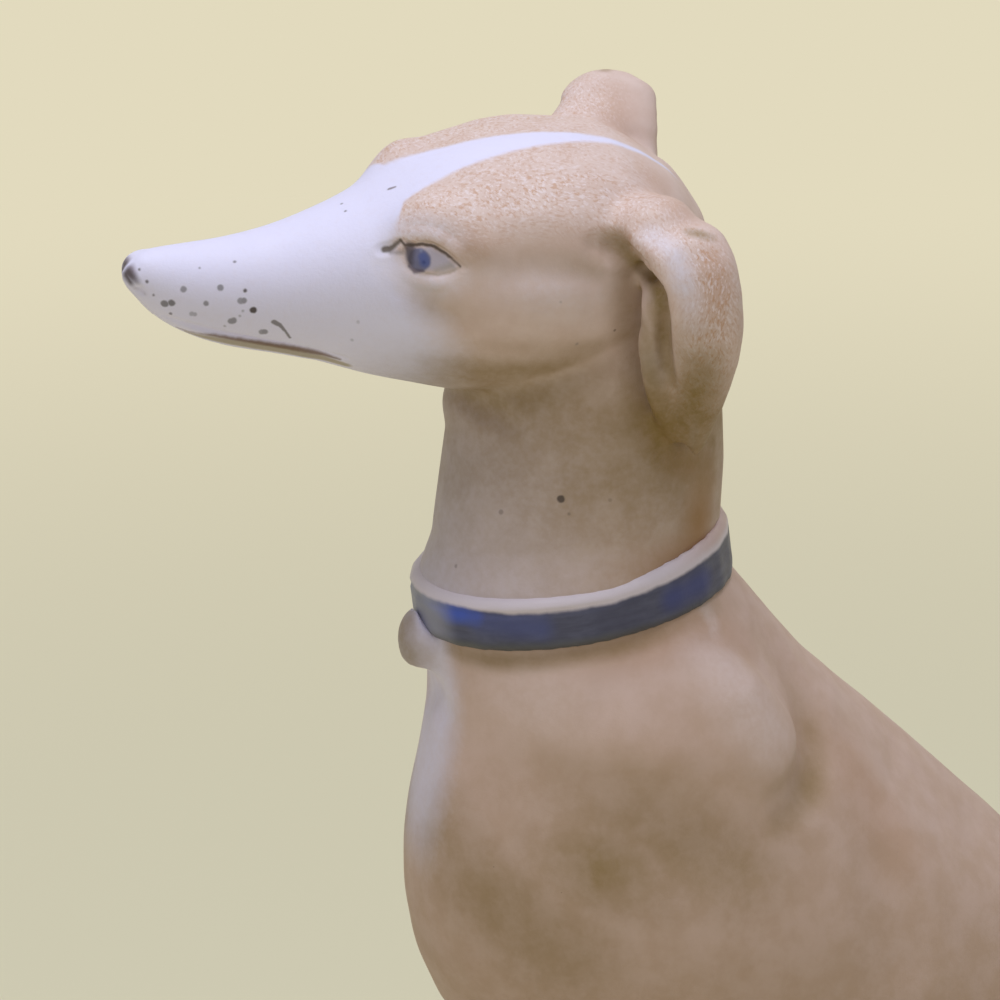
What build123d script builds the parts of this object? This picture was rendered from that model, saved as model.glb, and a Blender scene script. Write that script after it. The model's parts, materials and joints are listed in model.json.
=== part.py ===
"""Seated greyhound figure in painted bisque porcelain, on an oval plinth.

The dog faces -Y, +X is its own left and +Z is up. The origin is the centre of the plinth's underside.
The figure is press-moulded: hollow left and right halves are joined along their middle plane, and the
ears, forelegs, hind feet, tail, collar and pendant are made apart and luted on where they meet the body.
"""

from build123d import *

import math
import os

# Plinth: a hollow stepped oval, closed below by a slab with a firing vent
base_length = 92.0
base_width = 62.0
base_height = 9.0
base_foot_height = 3.6
base_step = 1.6
base_edge_chamfer = 1.0
slab_thickness = 2.6
slab_rim = 2.2
vent_radius = 2.5
vent_setback = 20.0
deck_hole_radius = 6.0
end_radius_share = 0.78

# Shell thickness of the moulded halves and the plinth
wall = 3.2

# Modelled facets: sides of a section and steps between two rows of a table
body_sides = 28
body_steps = 2
head_sides = 26
head_steps = 2
haunch_sides = 24
limb_sides = 14
fold_sides = 10
limb_steps = 2

# Body: body_height is from the plinth's top to the middle of the collar seam
body_length = 74.0
body_height = 85.6
body_width = 32.0

# Shoulder blade, pressed with the body half
shoulder_length = 30.0
shoulder_depth = 20.0
shoulder_width = 10.4
shoulder_lean = 24.0

# Haunch: thigh from hip to knee, then the shin from knee to hock
thigh_length = 43.0
thigh_depth = 34.0
thigh_width = 21.0
thigh_lean = 24.0
shin_length = 30.0
shin_depth = 13.0
shin_width = 10.0

# Neck: its foot is the collar seam
neck_height = 33.0
neck_width = 20.8
neck_depth = 23.6
neck_y = -22.3
neck_tilt = 7.5

# Head: the pivot is the middle of the skull between the ears
head_length = 44.5
head_width = 21.6
head_depth = 22.0
head_rise = 22.7
head_roll = 14.5
head_turn = -1.0
head_nod = 0.0

# Ears, hanging
ear_length = 21.0
ear_width = 8.8
ear_thickness = 3.4
ear_drop = 0.9
ear_advance = 0.5

# Collar and the pendant at its front
collar_height = 4.4
collar_thickness = 1.2
collar_edge_radius = 0.6
pendant_width = 5.6
pendant_height = 6.6
pendant_thickness = 5.0
pendant_drop = 2.9

# Forelegs
foreleg_height = 58.0
foreleg_width = 9.8
foreleg_depth = 16.0
foreleg_spacing = 20.6
forepaw_length = 14.0
forepaw_width = 10.0
forepaw_height = 7.0

# Hind feet
hind_foot_length = 38.0
hind_foot_width = 9.2
hind_foot_height = 9.4
hind_foot_spacing = 34.0

# Tail, curling round the left haunch
tail_reach = 24.6
tail_run = 34.0
tail_thickness = 6.0

plinth_top = base_height
seam_z = plinth_top + body_height
pivot_z = seam_z + head_rise

# Body sections from the first below the seam to the ground: front y, front z, back y, back z and half
# width, as shares of body_length, body_height and body_width
body_section_shares = [
    (-0.459, 0.875, -0.100, 0.972, 0.390),
    (-0.478, 0.785, -0.036, 0.906, 0.465),
    (-0.485, 0.688, 0.050, 0.840, 0.500),
    (-0.448, 0.582, 0.145, 0.763, 0.506),
    (-0.332, 0.500, 0.235, 0.683, 0.500),
    (-0.149, 0.447, 0.330, 0.582, 0.475),
    (0.000, 0.365, 0.410, 0.459, 0.484),
    (0.081, 0.259, 0.472, 0.310, 0.500),
    (0.122, 0.141, 0.500, 0.153, 0.500),
    (0.162, -0.020, 0.466, -0.020, 0.420),
]

# Body cavity sections, fewer and plainer, in the same shares before the wall is taken off
body_cavity_shares = [
    (-0.478, 0.785, -0.038, 0.890, 0.465),
    (-0.454, 0.582, 0.142, 0.746, 0.506),
    (-0.149, 0.447, 0.324, 0.576, 0.475),
    (0.081, 0.259, 0.470, 0.310, 0.500),
    (0.162, -0.020, 0.466, -0.020, 0.420),
]

# Neck sections above the seam: front y, front z, back y, back z and half width, as shares of
# neck_depth, neck_height and neck_width, from the seam's middle
neck_section_shares = [
    (-0.472, 0.148, 0.519, 0.285, 0.486),
    (-0.424, 0.391, 0.500, 0.527, 0.476),
    (-0.392, 0.573, 0.489, 0.724, 0.466),
    (-0.322, 0.755, 0.432, 0.891, 0.416),
    (-0.195, 0.906, 0.314, 1.012, 0.274),
]

# Neck cavity sections, in the same shares before the wall is taken off
neck_cavity_shares = [
    (-0.424, 0.391, 0.500, 0.527, 0.476),
    (-0.350, 0.700, 0.455, 0.830, 0.435),
]

# Head sections from occiput to nose: station, half width, top and bottom, as shares of head_length,
# head_width and head_depth from the pivot, then how full the top and bottom corners are
head_section_shares = [
    (-0.200, 0.185, 0.370, 0.045, 0.72, 0.70),
    (-0.150, 0.333, 0.500, -0.114, 0.74, 0.70),
    (-0.045, 0.463, 0.622, -0.273, 0.77, 0.70),
    (0.090, 0.500, 0.655, -0.318, 0.78, 0.70),
    (0.215, 0.454, 0.620, -0.290, 0.78, 0.70),
    (0.310, 0.384, 0.545, -0.248, 0.78, 0.70),
    (0.395, 0.306, 0.455, -0.200, 0.74, 0.72),
    (0.479, 0.250, 0.392, -0.142, 0.72, 0.72),
    (0.555, 0.210, 0.346, -0.098, 0.71, 0.72),
    (0.636, 0.175, 0.318, -0.061, 0.71, 0.71),
    (0.708, 0.145, 0.307, 0.002, 0.71, 0.71),
    (0.764, 0.105, 0.300, 0.078, 0.71, 0.71),
    (0.792, 0.065, 0.285, 0.145, 0.71, 0.71),
]
nose_tip_shares = (0.225, 0.812)

# Shoulder blade centre, as shares of body_width, body_length and body_height
shoulder_place_shares = (0.325, -0.200, 0.800)

# Thigh centre, in the same shares
thigh_place_shares = (0.390, 0.190, 0.300)

# Shin path from knee to hock as shares of body_width, shin_length (from the thigh's middle) and
# thigh_depth, with the half width and half depth as shares of shin_width and shin_depth
shin_path_shares = [
    (0.500, -0.520, 0.640, 0.420, 0.380),
    (0.530, -0.400, 0.480, 0.500, 0.500),
    (0.540, 0.020, 0.300, 0.500, 0.460),
    (0.530, 0.330, 0.160, 0.440, 0.400),
    (0.520, 0.420, 0.110, 0.360, 0.320),
]

# Foreleg path from the shoulder down: x as a share of foreleg_spacing, y of body_length, z of
# foreleg_height, then the half width and half depth as shares of foreleg_width and foreleg_depth
foreleg_path_shares = [
    (0.470, -0.170, 1.000, 0.420, 0.420),
    (0.500, -0.190, 0.860, 0.560, 0.500),
    (0.505, -0.225, 0.690, 0.500, 0.430),
    (0.500, -0.255, 0.480, 0.400, 0.310),
    (0.495, -0.275, 0.260, 0.350, 0.250),
    (0.490, -0.285, 0.140, 0.380, 0.270),
    (0.490, -0.295, 0.030, 0.380, 0.260),
]

# Forepaw sections, heel to toes: distance forward of the leg as a share of forepaw_length, middle
# height of forepaw_height, then the half width and half height of forepaw_width and forepaw_height
forepaw_path_shares = [
    (-0.360, 0.380, 0.260, 0.260),
    (-0.200, 0.440, 0.400, 0.450),
    (0.120, 0.450, 0.480, 0.520),
    (0.450, 0.340, 0.490, 0.470),
    (0.600, 0.260, 0.420, 0.340),
    (0.680, 0.200, 0.260, 0.180),
]

# Hind foot from hock to toes: x as a share of hind_foot_spacing, y of hind_foot_length, z of
# hind_foot_height, then the half width and half height of hind_foot_width and hind_foot_height
hind_foot_path_shares = [
    (0.480, 0.700, 0.520, 0.180, 0.200),
    (0.485, 0.640, 0.480, 0.400, 0.460),
    (0.495, 0.420, 0.420, 0.420, 0.440),
    (0.510, 0.120, 0.340, 0.400, 0.360),
    (0.515, -0.080, 0.340, 0.500, 0.380),
    (0.515, -0.220, 0.290, 0.510, 0.360),
    (0.515, -0.290, 0.230, 0.420, 0.280),
    (0.515, -0.325, 0.190, 0.260, 0.160),
]

# Ear lobe path in the head's frame: outward, up and forward as shares of head_width, ear_length and
# ear_width, then the half width and half thickness as shares of ear_width and ear_thickness
ear_lobe_path_shares = [
    (0.300, 0.440, -0.470, 0.400, 0.440),
    (0.470, 0.530, -0.500, 0.450, 0.520),
    (0.590, 0.450, -0.640, 0.400, 0.540),
    (0.645, 0.230, -0.765, 0.350, 0.500),
    (0.620, 0.000, -0.800, 0.270, 0.430),
    (0.575, -0.180, -0.830, 0.175, 0.360),
    (0.540, -0.330, -0.880, 0.060, 0.200),
]

# Ear's front edge, folded in beside the lobe, in the same shares
ear_fold_path_shares = [
    (0.440, 0.400, -0.400, 0.120, 0.300),
    (0.560, 0.330, -0.380, 0.170, 0.300),
    (0.590, 0.180, -0.390, 0.180, 0.280),
    (0.580, 0.020, -0.450, 0.170, 0.260),
    (0.560, -0.130, -0.560, 0.150, 0.240),
    (0.540, -0.270, -0.730, 0.120, 0.200),
]

# Tail path: x as a share of tail_reach, y of tail_run from the rump, z of tail_thickness and the
# half thickness as a share of tail_thickness
tail_path_shares = [
    (0.000, -0.020, 0.620, 0.520),
    (0.380, 0.010, 0.540, 0.500),
    (0.700, -0.130, 0.460, 0.450),
    (0.930, -0.400, 0.400, 0.390),
    (0.990, -0.700, 0.350, 0.330),
    (0.930, -1.000, 0.300, 0.260),
    (0.860, -1.150, 0.260, 0.180),
]


def ring(plane, half_width, top, bottom, sides, top_full_share=0.71, bottom_full_share=0.71):
    """Corners of a section, even about the plane's own YZ. The full shares say how square it is."""
    middle = (top + bottom) / 2
    reach = top - middle
    round_share = math.sqrt(0.5)
    corners = []
    for side in range(sides):
        turn = 2 * math.pi * side / sides
        across, along = math.sin(turn), math.cos(turn)
        full_share = top_full_share if along > 0 else bottom_full_share
        power = math.log(full_share) / math.log(round_share)
        x = math.copysign(half_width * abs(across) ** power, across)
        y = middle + math.copysign(reach * abs(along) ** power, along)
        corners.append(plane.from_local_coords(Vector(x, y, 0)))
    return corners


def skin(rings):
    """A solid of flat facets through rings of corners. A ring of one corner closes an end."""
    facets = []
    for lower, upper in zip(rings, rings[1:]):
        sides = max(len(lower), len(upper))
        for side in range(sides):
            following = (side + 1) % sides
            near = [lower[side], lower[following]] if len(lower) > 1 else [lower[0]]
            far = [upper[following], upper[side]] if len(upper) > 1 else [upper[0]]
            corners = near + far
            for last in range(2, len(corners)):
                facets.append(Face(Wire.make_polygon([corners[0], corners[last - 1], corners[last]])))
    for end in (rings[0], rings[-1]):
        if len(end) > 1:
            facets.append(Face(Wire.make_polygon(end)))
    return Solid(Shell(facets))


def eased(rows, steps):
    """The rows with steps - 1 more between each two, on a smooth curve through all of them."""
    smooth = []
    for index in range(len(rows) - 1):
        before = rows[max(index - 1, 0)]
        start, end = rows[index], rows[index + 1]
        after = rows[min(index + 2, len(rows) - 1)]
        for step in range(steps):
            t = step / steps
            smooth.append(
                [
                    b + t * (c - a + t * (2 * a - 5 * b + 4 * c - d + t * (3 * b - a - 3 * c + d))) / 2
                    for a, b, c, d in zip(before, start, end, after)
                ]
            )
    smooth.append(list(rows[-1]))
    return smooth


def side_plane(front, back):
    """The plane through two points of the side view, square to the dog's middle plane."""
    depth = (back - front).normalized()
    return Plane((front + back) / 2, x_dir=Vector(1, 0, 0), z_dir=Vector(1, 0, 0).cross(depth))


seam_plane = Plane((0, neck_y, seam_z)).rotated((neck_tilt, 0, 0))


def seam_ring(outset, rise=0):
    """The section at the collar seam, grown by outset and moved up the neck by rise."""
    return ring(
        seam_plane.offset(rise),
        neck_width / 2 + outset,
        neck_depth / 2 + outset,
        -neck_depth / 2 - outset,
        body_sides,
    )


def trunk_rings(shares, origin, depth_size, height_size, width_size, inset, steps):
    """The seam ring, then rings through the rows of shares from origin, all smaller by inset."""
    seam_front = seam_plane.from_local_coords(Vector(0, -neck_depth / 2, 0)) - origin
    seam_back = seam_plane.from_local_coords(Vector(0, neck_depth / 2, 0)) - origin
    seam_row = (
        seam_front.Y / depth_size,
        seam_front.Z / height_size,
        seam_back.Y / depth_size,
        seam_back.Z / height_size,
        neck_width / 2 / width_size,
    )
    rings = []
    for front_y, front_z, back_y, back_z, half_width in eased([seam_row] + shares, steps):
        front = origin + Vector(0, front_y * depth_size, front_z * height_size)
        back = origin + Vector(0, back_y * depth_size, back_z * height_size)
        half_depth = (back - front).length / 2 - inset
        rings.append(
            ring(
                side_plane(front, back),
                half_width * width_size - inset,
                half_depth,
                -half_depth,
                body_sides,
            )
        )
    return rings


def body_rings(shares, inset, steps):
    origin = Vector(0, 0, plinth_top)
    return trunk_rings(shares, origin, body_length, body_height, body_width, inset, steps)


def neck_rings(shares, inset, steps):
    origin = Vector(0, neck_y, seam_z)
    return trunk_rings(shares, origin, neck_depth, neck_height, neck_width, inset, steps)


def limb(rows, side, sides, steps):
    """Rings square to a path of rows x, y, z, half width along side, half depth."""
    smooth = eased(rows, steps)
    points = [Vector(*row[:3]) for row in smooth]
    rings = []
    for index, row in enumerate(smooth):
        before = points[max(index - 1, 0)]
        after = points[min(index + 1, len(points) - 1)]
        along = (after - before).normalized()
        across = (side - along * side.dot(along)).normalized()
        plane = Plane(points[index], x_dir=across, z_dir=along)
        rings.append(ring(plane, row[3], row[4], -row[4], sides))
    return rings


def egg(centre, size, lean, sides):
    """Rings and end points of a rounded form, its length along Y, leant about X at its centre."""
    width, length, height = size
    frame = Plane(Location(centre, (lean, 0, 0)) * Location((0, 0, 0), (90, 0, 0)))
    bands = sides // 2
    rings = []
    for band in range(bands + 1):
        turn = math.pi * band / bands
        station = -math.cos(turn) * length / 2
        share = math.sin(turn)
        if band in (0, bands):
            rings.append([frame.from_local_coords(Vector(0, 0, station))])
        else:
            reach = share * height / 2
            rings.append(ring(frame.offset(station), share * width / 2, reach, -reach, sides))
    return rings


def place(shares):
    """A point of the trunk from its shares of body_width, body_length and body_height."""
    across, back, up = shares
    return Vector(across * body_width, back * body_length, plinth_top + up * body_height)


# The head's own frame: x to the dog's left, y up and z forward along the muzzle
head_frame = Plane(
    Location((0, neck_y, pivot_z))
    * Location((0, 0, 0), (head_nod, head_roll, head_turn))
    * Location((0, 0, 0), (90, 0, 0))
)
across_dog = Vector(1, 0, 0)

# Plain forms, used to shape the shells and to seat the luted pieces
with BuildPart() as body_form:
    add(skin(body_rings(body_section_shares, 0, body_steps)))

nose_up, nose_forward = nose_tip_shares
skull_rings = [
    ring(
        head_frame.offset(station * head_length),
        half_width * head_width,
        top * head_depth,
        bottom * head_depth,
        head_sides,
        top_full_share,
        bottom_full_share,
    )
    for station, half_width, top, bottom, top_full_share, bottom_full_share
    in eased(head_section_shares, head_steps)
]
nose_tip = head_frame.from_local_coords(Vector(0, nose_up * head_depth, nose_forward * head_length))

with BuildPart() as head_form:
    add(skin(neck_rings(neck_section_shares, 0, body_steps)))
    add(skin(skull_rings + [[nose_tip]]))

# Shoulder blade, thigh and shin of the left side
shoulder_size = (shoulder_width, shoulder_depth, shoulder_length)
thigh_size = (thigh_width, thigh_length, thigh_depth)
shin_rows = [
    (
        x * body_width,
        thigh_place_shares[1] * body_length + y * shin_length,
        plinth_top + z * thigh_depth,
        half_width * shin_width,
        half_depth * shin_depth,
    )
    for x, y, z, half_width, half_depth in shin_path_shares
]

with BuildPart() as flank_form:
    add(skin(egg(place(shoulder_place_shares), shoulder_size, shoulder_lean, haunch_sides)))
    add(skin(egg(place(thigh_place_shares), thigh_size, thigh_lean, haunch_sides)))
    add(skin(limb(shin_rows, across_dog, limb_sides, limb_steps)))

with BuildPart() as trunk_form:
    add(body_form.part)
    add(flank_form.part)
    add(mirror(flank_form.part, about=Plane.YZ, mode=Mode.PRIVATE))
    split(bisect_by=Plane.XY.offset(plinth_top), keep=Keep.TOP)

# Body halves: the cavity runs from the plinth's deck up to the collar seam
with BuildPart() as body_cavity:
    add(skin(body_rings(body_cavity_shares, wall, 1)))

with BuildPart() as body_half_left:
    add(trunk_form.part)
    add(body_cavity.part, mode=Mode.SUBTRACT)
    split(bisect_by=Plane.YZ, keep=Keep.TOP)

with BuildPart() as body_half_right:
    mirror(body_half_left.part, about=Plane.YZ)

# Head halves, with the neck's cavity, parted on the head's own middle plane
with BuildPart() as head_shell:
    add(head_form.part)
    add(skin(neck_rings(neck_cavity_shares, wall, 1)), mode=Mode.SUBTRACT)

head_middle = Plane(head_frame.origin, x_dir=head_frame.z_dir, z_dir=head_frame.x_dir)

with BuildPart() as head_half_left:
    add(head_shell.part)
    split(bisect_by=head_middle, keep=Keep.TOP)

with BuildPart() as head_half_right:
    add(head_shell.part)
    split(bisect_by=head_middle, keep=Keep.BOTTOM)


def ear_rows(hand, shares):
    """A path of one ear, hand 1 for the dog's left and -1 for its right."""
    rows = []
    for outward, up, forward, half_width, half_thickness in shares:
        point = head_frame.from_local_coords(
            Vector(
                hand * outward * head_width,
                up * ear_length - hand * ear_drop,
                forward * ear_width + hand * ear_advance,
            )
        )
        rows.append((*point, half_width * ear_width, half_thickness * ear_thickness))
    return rows


with BuildPart() as ear_left:
    add(skin(limb(ear_rows(1, ear_lobe_path_shares), head_frame.z_dir, limb_sides, limb_steps)))
    add(skin(limb(ear_rows(1, ear_fold_path_shares), head_frame.z_dir, fold_sides, limb_steps)))
    add(head_form.part, mode=Mode.SUBTRACT)

with BuildPart() as ear_right:
    add(skin(limb(ear_rows(-1, ear_lobe_path_shares), head_frame.z_dir, limb_sides, limb_steps)))
    add(skin(limb(ear_rows(-1, ear_fold_path_shares), head_frame.z_dir, fold_sides, limb_steps)))
    add(head_form.part, mode=Mode.SUBTRACT)

# Collar over the seam, with softened edges, and the pendant at its front
edge_rise = collar_height / 2 - collar_edge_radius
edge_outset = collar_thickness - collar_edge_radius
collar_rings = [
    seam_ring(edge_outset, -collar_height / 2),
    seam_ring(collar_thickness, -edge_rise),
    seam_ring(collar_thickness, edge_rise),
    seam_ring(edge_outset, collar_height / 2),
]

with BuildPart() as collar:
    add(skin(collar_rings))
    add(head_form.part, mode=Mode.SUBTRACT)
    add(trunk_form.part, mode=Mode.SUBTRACT)

pendant_place = seam_plane.from_local_coords(
    Vector(0, -neck_depth / 2 - collar_thickness / 2, -pendant_drop)
)
pendant_size = (pendant_width, pendant_thickness, pendant_height)

with BuildPart() as pendant:
    add(skin(egg(pendant_place, pendant_size, 0, limb_sides)))
    add(head_form.part, mode=Mode.SUBTRACT)
    add(trunk_form.part, mode=Mode.SUBTRACT)
    add(collar.part, mode=Mode.SUBTRACT)

# Forelegs, each with its paw
foreleg_rows = [
    (
        x * foreleg_spacing,
        y * body_length,
        plinth_top + z * foreleg_height,
        half_width * foreleg_width,
        half_depth * foreleg_depth,
    )
    for x, y, z, half_width, half_depth in foreleg_path_shares
]
ankle_x, ankle_y = foreleg_rows[-1][:2]
forepaw_rows = [
    (
        ankle_x,
        ankle_y - forward * forepaw_length,
        plinth_top + z * forepaw_height,
        half_width * forepaw_width,
        half_height * forepaw_height,
    )
    for forward, z, half_width, half_height in forepaw_path_shares
]

with BuildPart() as foreleg_left:
    add(skin(limb(foreleg_rows, across_dog, limb_sides, limb_steps)))
    add(skin(limb(forepaw_rows, across_dog, limb_sides, limb_steps)))
    split(bisect_by=Plane.XY.offset(plinth_top), keep=Keep.TOP)
    add(trunk_form.part, mode=Mode.SUBTRACT)

with BuildPart() as foreleg_right:
    mirror(foreleg_left.part, about=Plane.YZ)

# Hind feet, from hock to toes
hind_foot_rows = [
    (
        x * hind_foot_spacing,
        y * hind_foot_length,
        plinth_top + z * hind_foot_height,
        half_width * hind_foot_width,
        half_height * hind_foot_height,
    )
    for x, y, z, half_width, half_height in hind_foot_path_shares
]

with BuildPart() as hind_foot_left:
    add(skin(limb(hind_foot_rows, across_dog, limb_sides, limb_steps)))
    split(bisect_by=Plane.XY.offset(plinth_top), keep=Keep.TOP)
    add(trunk_form.part, mode=Mode.SUBTRACT)

with BuildPart() as hind_foot_right:
    mirror(hind_foot_left.part, about=Plane.YZ)

# Tail, from the rump round the left haunch
rump_y = (body_section_shares[-1][2] + body_section_shares[-2][2]) / 2 * body_length
tail_rows = [
    (
        x * tail_reach,
        rump_y + y * tail_run,
        plinth_top + z * tail_thickness,
        half_thickness * tail_thickness,
        half_thickness * tail_thickness,
    )
    for x, y, z, half_thickness in tail_path_shares
]

with BuildPart() as tail:
    add(skin(limb(tail_rows, Vector(0, 0, 1), limb_sides, limb_steps)))
    split(bisect_by=Plane.XY.offset(plinth_top), keep=Keep.TOP)
    add(trunk_form.part, mode=Mode.SUBTRACT)
    add(hind_foot_left.part, mode=Mode.SUBTRACT)


def plinth_oval(inset):
    """Outline of the plinth: side arcs that run smoothly into rounder end arcs."""
    across = base_width / 2 - inset
    along = base_length / 2 - inset
    end_radius = end_radius_share * across
    end_centre = along - end_radius
    side_radius = (end_centre**2 + across**2 - end_radius**2) / (across - end_radius) / 2
    side_centre = across - side_radius
    away = Vector(-side_centre, end_centre).normalized()
    meet = Vector(0, end_centre) + away * end_radius
    with BuildLine(mode=Mode.PRIVATE) as outline:
        RadiusArc((across, 0), meet, -side_radius)
        RadiusArc(meet, (0, along), -end_radius)
        mirror(about=Plane.YZ)
        mirror(about=Plane.XZ)
    return outline.line


# Plinth: foot band, stepped tier, cavity, ledge for the slab and a hole up into the body
deck_y = (body_section_shares[-1][0] + body_section_shares[-1][2]) / 2 * body_length
slab_inset = base_step + wall

with BuildPart() as base_plinth:
    with BuildSketch():
        make_face(plinth_oval(0).edges())
    extrude(amount=base_foot_height)
    with BuildSketch(Plane.XY.offset(base_foot_height)):
        make_face(plinth_oval(base_step).edges())
    extrude(amount=base_height - base_foot_height)
    chamfer(base_plinth.edges().group_by(Axis.Z)[-1], base_edge_chamfer)
    with BuildSketch():
        make_face(plinth_oval(slab_inset).edges())
    extrude(amount=slab_thickness, mode=Mode.SUBTRACT)
    with BuildSketch(Plane.XY.offset(slab_thickness)):
        make_face(plinth_oval(slab_inset + slab_rim).edges())
    extrude(amount=base_height - wall - slab_thickness, mode=Mode.SUBTRACT)
    with BuildSketch(Plane.XY.offset(base_height)):
        with Locations((0, deck_y)):
            Circle(deck_hole_radius)
    extrude(amount=-wall, mode=Mode.SUBTRACT)

with BuildPart() as base_slab:
    with BuildSketch():
        make_face(plinth_oval(slab_inset).edges())
        with Locations((0, vent_setback)):
            Circle(vent_radius, mode=Mode.SUBTRACT)
    extrude(amount=slab_thickness)

pieces = {
    "base_plinth": base_plinth,
    "base_slab": base_slab,
    "body_half_left": body_half_left,
    "body_half_right": body_half_right,
    "head_half_left": head_half_left,
    "head_half_right": head_half_right,
    "ear_left": ear_left,
    "ear_right": ear_right,
    "collar": collar,
    "pendant": pendant,
    "foreleg_left": foreleg_left,
    "foreleg_right": foreleg_right,
    "hind_foot_left": hind_foot_left,
    "hind_foot_right": hind_foot_right,
    "tail": tail,
}

os.makedirs("parts", exist_ok=True)
for name, piece in pieces.items():
    piece.part.label = name
    export_step(piece.part, f"parts/{name}.step")
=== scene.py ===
import bmesh
import bpy
import json
import math
import numpy as np
from mathutils import Matrix, Vector
from mathutils.bvhtree import BVHTree


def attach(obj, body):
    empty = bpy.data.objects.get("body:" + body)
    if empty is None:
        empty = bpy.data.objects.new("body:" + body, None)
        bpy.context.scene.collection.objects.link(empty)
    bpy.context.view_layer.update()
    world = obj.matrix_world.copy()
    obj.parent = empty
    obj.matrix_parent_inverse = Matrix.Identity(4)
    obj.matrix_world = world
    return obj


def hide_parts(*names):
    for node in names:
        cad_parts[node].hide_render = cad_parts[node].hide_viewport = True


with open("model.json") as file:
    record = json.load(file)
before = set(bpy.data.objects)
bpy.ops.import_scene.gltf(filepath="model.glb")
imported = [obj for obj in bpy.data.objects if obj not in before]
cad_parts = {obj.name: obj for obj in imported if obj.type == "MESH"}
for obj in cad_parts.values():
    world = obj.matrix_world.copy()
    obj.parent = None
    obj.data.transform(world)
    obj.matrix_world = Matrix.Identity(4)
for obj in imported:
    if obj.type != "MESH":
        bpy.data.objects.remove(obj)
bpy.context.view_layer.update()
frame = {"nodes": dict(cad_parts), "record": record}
nodes = frame["nodes"]
scene = bpy.context.scene
mm = 0.001  # lengths below are in millimetres until they meet this
print("frame loaded:", len(nodes), "nodes")

# The photograph's view. Pixels of its frame place the painted marks and the modelled folds.
cameraView = {
    "target": (0, -22, 93),
    "azimuth": 73,
    "elevation": 17.5,
    "distance": 400,
    "aside": -6.0,
    "raised": 7.2,
    "lens": 180,
    "sensor": 36,
    "pixels": 1000,
}


def makeCamera(view):
    turn, rise = math.radians(view["azimuth"]), math.radians(view["elevation"])
    back = Vector((math.sin(turn) * math.cos(rise), -math.cos(turn) * math.cos(rise), math.sin(rise)))
    right = Vector((math.cos(turn), math.sin(turn), 0))
    up = back.cross(right)
    data = bpy.data.cameras.new("camera")
    data.lens, data.sensor_width = view["lens"], view["sensor"]
    data.clip_start, data.clip_end = 0.01, 20
    camera = bpy.data.objects.new("camera", data)
    place = Vector(view["target"]) + back * view["distance"] + right * view["aside"] + up * view["raised"]
    camera.matrix_world = Matrix.Translation(place * mm) @ Matrix((right, up, back)).transposed().to_4x4()
    scene.collection.objects.link(camera)
    scene.camera = camera
    return place * mm, right, up, back


cameraPlace, viewRight, viewUp, viewBack = makeCamera(cameraView)
focalPixels = cameraView["lens"] / cameraView["sensor"] * cameraView["pixels"]
middlePixel = cameraView["pixels"] / 2

# The head's own frame: x to the dog's left, y up, z forward along the muzzle
headPlace = {"pivot": (0, -22.3, 117.3), "roll": 14.5, "turn": -1.0}
headFrame = (
    Matrix.Translation(Vector(headPlace["pivot"]))
    @ Matrix.Rotation(math.radians(headPlace["roll"]), 4, "Y")
    @ Matrix.Rotation(math.radians(headPlace["turn"]), 4, "Z")
    @ Matrix.Rotation(math.radians(90), 4, "X")
)
bodyFrame = Matrix.Identity(4)

# The collar's frame: its middle on the seam of neck and body, z up the neck
collarPlace = {
    "centre": (0, -22.3, 94.6), "tilt": 7.5, "halfWidth": 11.6, "halfDepth": 13.0, "halfHeight": 2.2,
}
collarFrame = Matrix.Translation(Vector(collarPlace["centre"])) @ Matrix.Rotation(
    math.radians(collarPlace["tilt"]), 4, "X"
)


def softStep(value, low, high):
    share = np.clip((value - low) / (high - low), 0, 1)
    return share * share * (3 - 2 * share)


def readRows(items, name, width=1, kind=np.float32):
    flat = np.empty(len(items) * width, kind)
    items.foreach_get(name, flat)
    return flat.reshape(-1, width) if width > 1 else flat


def readPlaces(mesh):
    return readRows(mesh.vertices, "co", 3).astype(float) / mm


def writePlaces(mesh, places):
    mesh.vertices.foreach_set("co", (places * mm).astype(np.float32).ravel())
    mesh.update()


def readNormals(mesh):
    return readRows(mesh.vertex_normals, "vector", 3).astype(float)


def readEdges(mesh):
    return readRows(mesh.edges, "vertices", 2, np.int32)


def inFrame(places, own):
    # world places in the form's own frame
    turned = np.array(own.to_3x3())
    return (places - np.array(own.translation)) @ turned


def copyNode(bm, name):
    before = len(bm.verts)
    bm.from_mesh(nodes[name].data)
    bm.verts.ensure_lookup_table()
    bmesh.ops.remove_doubles(bm, verts=bm.verts[before:], dist=0.002 * mm)


def gathered(form):
    # merged copies of CAD nodes, with plugs that close their cavities and fillets of slip
    bm = bmesh.new()
    for name in form["members"]:
        copyNode(bm, name)
    for plug in form["plugs"]:
        size = Vector((*plug["size"], 1)) * mm
        bmesh.ops.create_cone(
            bm, cap_ends=True, segments=40, radius1=1, radius2=1, depth=1,
            matrix=Matrix.Translation(Vector(plug["centre"]) * mm)
            @ Matrix.Rotation(math.radians(plug["tilt"]), 4, "X")
            @ Matrix.Diagonal(size[:3]).to_4x4(),
        )
    for fillet in form["fillets"]:
        bmesh.ops.create_icosphere(
            bm, subdivisions=3, radius=1,
            matrix=Matrix.Scale(mm, 4)
            @ form["frame"]
            @ Matrix.Translation(fillet["centre"])
            @ Matrix.Rotation(math.radians(fillet["lean"]), 4, "Z")
            @ Matrix.Diagonal(fillet["size"]).to_4x4(),
        )
    mesh = bpy.data.meshes.new("gathered")
    bm.to_mesh(mesh)
    bm.free()
    return mesh


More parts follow.
